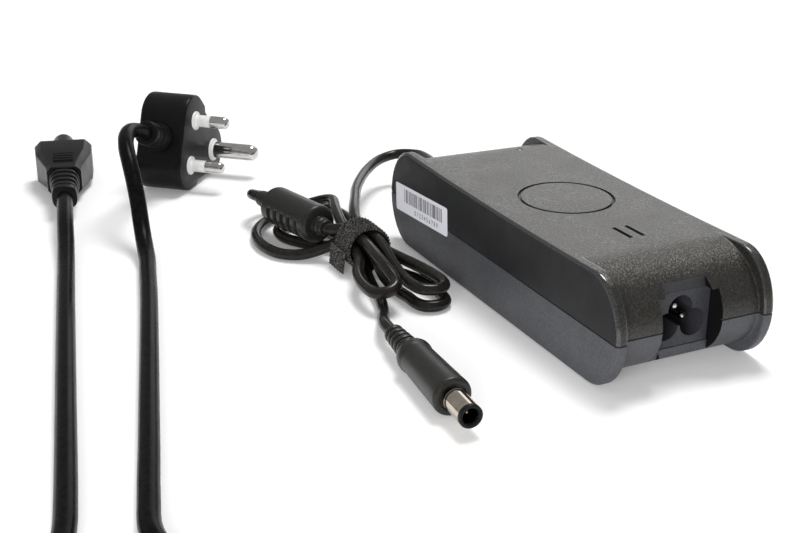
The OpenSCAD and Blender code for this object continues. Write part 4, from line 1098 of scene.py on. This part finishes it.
C5_YAW = 168
C5_W = 23
C5_H = 17
C5_L = 31
C5_WAIST_W = 0.58 * C5_W
C5_WAIST_H = 0.72 * C5_H
C5_RELIEF = 22
C5_END = C5_RELIEF + C5_L
C5_FRONT = C5_END + 15
C5_BARREL_R = 4.25
C5_BORE_R = 1.6
C5_BORE_L = 14
C5_PLACES = [(0, 2.6), (-5, -2.6), (5, -2.6)]
RIDGE_COUNT = 4
RIDGE_PITCH = 2.4
AT_C5 = stand(C5_AT, C5_YAW)
QUARTER_TURN = Matrix.Rotation(math.pi / 2, 4, "Z")


def chamfered(w, h, bevel, soft=0.5, steps=3):
    """Rectangle with cut corners whose edges are rounded, as (y, z) pairs."""
    y, z = w / 2, h / 2
    half = [Vector(p) for p in ((y - bevel, -z), (y, bevel - z), (y, z - bevel), (y - bevel, z))]
    base = half + [-p for p in half]
    pairs = []
    for i, here in enumerate(base):
        a = here + (base[i - 1] - here).normalized() * soft
        b = here + (base[(i + 1) % 8] - here).normalized() * soft
        for k in range(steps + 1):
            t = k / steps
            pairs.append(tuple((1 - t) ** 2 * a + 2 * t * (1 - t) * here + t * t * b))
    return pairs


def c5_ridges():
    """Grip ridges across the connector's top and underside."""
    for i in range(RIDGE_COUNT):
        for s in (-1, 1):
            along = 7.6 + i * RIDGE_PITCH
            z = s * (C5_WAIST_H / 2 + 0.2 + 0.09 * (along - 6))
            place = AT_C5 @ Matrix.Translation((C5_RELIEF + along, 0, z)) @ QUARTER_TURN
            yield turned([(-4, 0.3), (-3.8, 0.8), (3.8, 0.8), (4, 0.3)], place, 20)


def make_c5():
    x0 = C5_RELIEF
    stations = [
        (x0, C5_WAIST_W - 0.8, C5_WAIST_H - 0.8, 1.8), (x0 + 0.5, C5_WAIST_W, C5_WAIST_H, 2),
        (x0 + C5_L * 0.2, C5_WAIST_W + 1, C5_WAIST_H + 0.5, 2),
        (x0 + C5_L * 0.62, C5_W - 1, C5_H - 0.6, 2.6), (C5_END - 0.5, C5_W, C5_H, 2.6),
        (C5_END, C5_W - 0.8, C5_H - 0.8, 2.4),
    ]
    rings = [
        [AT_C5 @ Vector((x, y, z)) for y, z in chamfered(w, h, bevel)]
        for x, w, h, bevel in stations
    ]
    made = mesh_object("c5_connector", loft(rings))
    web = box_skin((C5_END - 1, -5, -3.6), (C5_FRONT - 0.3, 5, -0.6))
    tall = box_skin((C5_END - 1, -1.6, -2.6), (C5_FRONT - 0.3, 1.6, 2.6))
    for skin in (web, tall):
        skin.transform(Matrix.Translation(AT_C5.translation * MM) @ AT_C5.to_3x3().to_4x4())
    places = [AT_C5 @ Matrix.Translation((0, y, z)) for y, z in C5_PLACES]
    shape = [(C5_END - 1, C5_BARREL_R), *rounded(C5_FRONT, C5_BARREL_R, 0.5, 1)]
    barrels = [turned(shape, place) for place in places]
    for skin in (web, tall, *barrels, *c5_ridges()):
        cut(made, skin, "UNION")
    bore = [
        (C5_FRONT - C5_BORE_L, C5_BORE_R), (C5_FRONT - 0.5, C5_BORE_R),
        (C5_FRONT + 0.5, C5_BORE_R + 1),
    ]
    for place in places:
        cut(made, turned(bore, place, 32))
    return dress(made, "c5_body", "mains_lead", "mains_moulding", 28)


c5_connector = make_c5()


def squarish(profile, place, power, around=64):
    """A turned shape whose sections are rounded squares."""
    rings = []
    for x, r in profile:
        ring = []
        for k in range(around):
            a = 2 * math.pi * k / around
            c, s = math.cos(a), math.sin(a)
            square = (abs(c) ** power + abs(s) ** power) ** (-1 / power)
            grown = r * (1 + (square - 1) * 0.8)
            ring.append(place @ Vector((x, grown * c, grown * s)))
        rings.append(ring)
    return loft(rings)


c5_relief = piece("c5_boot", squarish([
    (0, 3.3), *rounded(0.6, 4.7, 0.5, -1), (3.4, 4.9), (3.8, 4.4),
    *ribs(4.2, C5_RELIEF, MAINS_D + 1.9, MAINS_D + 4.2, 4, MAINS_D + 4.6),
], AT_C5, 3.2), "c5_relief", body="mains_lead", finish="mains_moulding")

# -------- mains plug

PLUG_T = 20
PLUG_BEVEL = 1.6
FACE_R = 0.9
HOLLOW = 1.9
LOBE_R = 10.8
LIVE_PITCH = 19.05
EARTH_RISE = 22.2
EARTH_D = 7.05
EARTH_L = 20.6
EARTH_ROOT_D = EARTH_D - 0.6
LIVE_D = 5.05
LIVE_L = 14.9
LIVE_ROOT_D = LIVE_D - 1
SLEEVE_L = 7
COLLAR_T = 0.8
COLLAR_GROW = 2.8
PIN_ROOT = 6
PIN_STEP = 1.4
RELIEF_L = 14
FLANK_TURN = -90 - math.degrees(math.atan2(LIVE_PITCH / 2, EARTH_RISE))
AT_MAINS = (
    stand((-161.6, -84.5, LOBE_R), 140)
    @ Matrix.Rotation(math.pi / 2, 4, "X") @ Matrix.Rotation(math.radians(FLANK_TURN), 4, "Z")
    @ Matrix.Translation((-LIVE_PITCH / 2, 0, 0))
)
AT_EARTH = AT_MAINS @ Matrix.Translation((0, EARTH_RISE, 0)) @ UPRIGHT
AT_LIVES = [AT_MAINS @ Matrix.Translation((s * LIVE_PITCH / 2, 0, 0)) @ UPRIGHT for s in (-1, 1)]
# Place, diameter and root diameter of each pin
PINS = [(AT_EARTH, EARTH_D, EARTH_ROOT_D), *[(place, LIVE_D, LIVE_ROOT_D) for place in AT_LIVES]]
AT_RELIEF = AT_MAINS @ Matrix.Translation((0, -LOBE_R - RELIEF_L, -PLUG_T / 2)) @ QUARTER_TURN


def three_lobes(inset, recess, steps=14):
    """Rounded triangle round the three pins; recess hollows its two long flanks."""
    r = LOBE_R - inset
    corners = [(-LIVE_PITCH / 2, 0), (LIVE_PITCH / 2, 0), (0, EARTH_RISE)]
    pairs = []
    for i, (cx, cy) in enumerate(corners):
        px, py = corners[i - 1]
        nx, ny = corners[(i + 1) % 3]
        start = math.atan2(cy - py, cx - px) - math.pi / 2
        stop = math.atan2(ny - cy, nx - cx) - math.pi / 2
        while stop < start:
            stop += 2 * math.pi
        for k in range(steps + 1):
            a = start + (stop - start) * k / steps
            pairs.append((cx + r * math.cos(a), cy + r * math.sin(a)))
        for k in range(1, steps):
            t = k / steps
            dip = 0
            if i > 0:
                u = t if i == 1 else 1 - t
                dip = recess * clamp(min((u - 0.22) / 0.07, (0.97 - u) / 0.3))
            pairs.append((
                cx + (nx - cx) * t + (r - dip) * math.cos(stop),
                cy + (ny - cy) * t + (r - dip) * math.sin(stop),
            ))
    return pairs


def make_mains_plug():
    # Height, inset and hollow of each section, from the back to the face with the pins
    back = [math.pi / 8 * i for i in range(5)]
    face = [math.pi / 6 * i for i in range(4)]
    stations = [
        *[(-PLUG_T + PLUG_BEVEL * (1 - math.cos(a)), PLUG_BEVEL * (1 - math.sin(a)), 0) for a in back],
        (-14.6, 0, 0), (-14.2, 0, HOLLOW / 2), (-13.8, 0, HOLLOW), (-9, 0, HOLLOW), (-4, 0, HOLLOW),
        *[(-FACE_R * (1 - math.sin(a)), FACE_R * (1 - math.cos(a)), HOLLOW) for a in face],
    ]
    rings = [
        [AT_MAINS @ Vector((x, y, z)) for x, y in three_lobes(inset, recess)]
        for z, inset, recess in stations
    ]
    made = mesh_object("mains_plug", loft(rings))
    for place, d, root_d in PINS:
        wide = (d + COLLAR_GROW) / 2
        hole = [(-PIN_ROOT, root_d / 2), (-COLLAR_T, root_d / 2), (-COLLAR_T, wide), (1, wide)]
        cut(made, turned(hole, place))
    return dress(made, "mains_plug_body", "mains_lead", "mains_moulding", 30)


def pin(place, d, root_d, length, root_l):
    return turned([
        (-PIN_ROOT, root_d / 2), (root_l, root_d / 2), (root_l, d / 2 - 0.15),
        (root_l + 0.15, d / 2), *rounded(length, d / 2, 0.42 * d, 1, 10),
    ], place, 64)


def collar(place, d, root_d):
    wide = (d + COLLAR_GROW) / 2
    return turned([
        (-COLLAR_T, root_d / 2), (-COLLAR_T, wide), *rounded(COLLAR_T, wide, 0.4, 1, 4),
        (COLLAR_T, d / 2 + 0.35), (COLLAR_T + 0.6, d / 2 - 0.1), (COLLAR_T + 0.6, root_d / 2),
    ], place, looped=True)


def sleeve(place):
    inner, neck, outer = LIVE_D / 2 - 0.5, LIVE_D / 2 - 0.2, LIVE_D / 2
    return turned([
        (COLLAR_T, inner), (COLLAR_T, neck), (PIN_STEP, neck),
        (PIN_STEP + 0.3, outer), (SLEEVE_L, outer), (SLEEVE_L, inner),
    ], place, looped=True)


mains_plug = make_mains_plug()
mains_relief = piece("mains_boot", turned([
    (0, 3.4), *rounded(0.3, 5, 0.5, -1), (2.9, 5.1), (3.2, 4.6),
    *ribs(3.4, RELIEF_L, MAINS_D + 2.4, MAINS_D + 5, 3, MAINS_D + 5), (RELIEF_L + 1.5, 6.3),
], AT_RELIEF, 64), "mains_relief", body="mains_lead", finish="mains_moulding")
collars = piece(
    "pin_rings", joined([collar(*spot) for spot in PINS]), "pin_collars", body="mains_lead"
)
earth_pin = piece(
    "earth_contact", joined([pin(*PINS[0], EARTH_L, PIN_STEP)]), "earth_pin", body="mains_lead"
)
live_pins = piece(
    "live_contacts", joined([pin(*spot, LIVE_L, SLEEVE_L) for spot in PINS[1:]]), "live_pins",
    body="mains_lead",
)
sleeves = piece(
    "pin_insulation", joined([sleeve(place) for place in AT_LIVES]), "pin_sleeves",
    body="mains_lead",
)

# -------- the coil's tie

STRAP_W = 8
STRAP_FIT = 0.2
STRAP_CORNER = 2.2
STRAP_STEP = 0.3
STRAP_LOOPS = 0.3


def strap_path():
    """Round the coil's turns: X, Z and the way out, at even steps along the tape."""
    room = MAINS_D / 2 + STRAP_FIT + COIL_TIE_T
    middle = COIL_AT[0] + COIL_OUT
    high = 2 * COIL_TIE_T + MAINS_D + COIL_LAYER + 2 * STRAP_FIT
    path = corner_arcs(middle - COIL_STEP - room, middle + room, 0, high, STRAP_CORNER, 8)
    dense = []
    for here, after in zip(path, path[1:] + path[:1]):
        count = max(1, round(math.dist(here[:2], after[:2]) / STRAP_STEP))
        for k in range(count):
            dense.append([p + (q - p) * k / count for p, q in zip(here, after)])
    return dense


def make_coil_tie():
    chance = random.Random(13)
    rings = []
    for i, (x, z, nx, nz) in enumerate(strap_path()):
        ring = []
        for k in range(33):
            v = STRAP_W * k / 32
            out = STRAP_LOOPS * (weave(i * STRAP_STEP, v, chance) - 1)
            ring.append((x + nx * out, COIL_AT[1] - STRAP_W / 2 + v, z + nz * out))
        for y in (STRAP_W / 2 - 0.1, -STRAP_W / 2 + 0.1):
            ring.append((x - nx * COIL_TIE_T, COIL_AT[1] + y, z - nz * COIL_TIE_T))
        rings.append(ring)
    return piece("coil_strap", loft(rings, looped=True), "coil_tie", body="mains_lead", sharp=60)


coil_strap = make_coil_tie()

# -------- CAD nodes' materials

nodes = frame["nodes"]
for name, cad in nodes.items():
    cad.data.materials.clear()
    cad.data.materials.append(MATERIALS[SLOT_OF[name]])

# -------- floor and light

FLOOR_HALF = 6.0
FLOOR_Z = -0.0002
FLOOR_LIFT = 0.14
WORLD_LEVEL = 0.36


def seen(mat):
    """1 for camera, glossy and transmission rays, and 0 for the light on things."""
    rays = node(mat, "ShaderNodeLightPath")
    either = node(mat, "ShaderNodeMath", operation="MAXIMUM")
    link(mat, rays, "Is Camera Ray", either, 0)
    link(mat, rays, "Is Glossy Ray", either, 1)
    each = node(mat, "ShaderNodeMath", operation="MAXIMUM")
    link(mat, either, 0, each, 0)
    link(mat, rays, "Is Transmission Ray", each, 1)
    return each


def floor_material():
    """White, with a little light of its own where it is seen."""
    mat, shader = material("floor", (0.88, 0.88, 0.88), 0.9, specular=0.1)
    tint(mat, shader, noise(mat, 400, 2), [(0.3, (0.87, 0.87, 0.87)), (0.7, (0.89, 0.89, 0.89))])
    level = node(mat, "ShaderNodeMath", operation="MULTIPLY")
    link(mat, seen(mat), 0, level, 0)
    level.inputs[1].default_value = FLOOR_LIFT
    glow = node(mat, "ShaderNodeEmission")
    link(mat, level, 0, glow, "Strength")
    both = node(mat, "ShaderNodeAddShader")
    link(mat, shader, 0, both, 0)
    link(mat, glow, 0, both, 1)
    link(mat, both, 0, mat.node_tree.nodes["Material Output"], "Surface")
    return mat


def make_floor():
    data = bpy.data.meshes.new("floor")
    s = FLOOR_HALF
    data.from_pydata([(-s, -s, 0), (s, -s, 0), (s, s, 0), (-s, s, 0)], [], [(0, 1, 2, 3)])
    data.materials.append(floor_material())
    floor = add("floor", data)
    floor.location.z = FLOOR_Z


def make_world():
    world = bpy.data.worlds.new("world")
    world.use_nodes = True
    scene.world = world
    adjust(world.node_tree.nodes["Background"], Color=(1, 1, 1, 1), Strength=WORLD_LEVEL)


def make_lamp(name, at, target, size, watts, mirrored=True):
    data = bpy.data.lights.new(name, "AREA")
    data.shape = "RECTANGLE"
    data.size, data.size_y = size
    data.energy = watts
    lamp = add(name, data)
    lamp.location = at
    lamp.visible_glossy = mirrored
    lamp.rotation_mode = "QUATERNION"
    lamp.rotation_quaternion = (Vector(target) - Vector(at)).to_track_quat("-Z", "Y")


make_floor()
make_world()
make_lamp("key", (-0.35, 0.28, 1.25), (0, -0.05, 0), (0.5, 0.5), 13)
make_lamp("sheen", (-1.15, 0.78, 0.5), (0, 0, 0), (0.8, 0.6), 2)
make_lamp("fill", (0.38, -0.36, 0.13), (0.07, -0.03, 0.02), (0.24, 0.16), 2, mirrored=False)
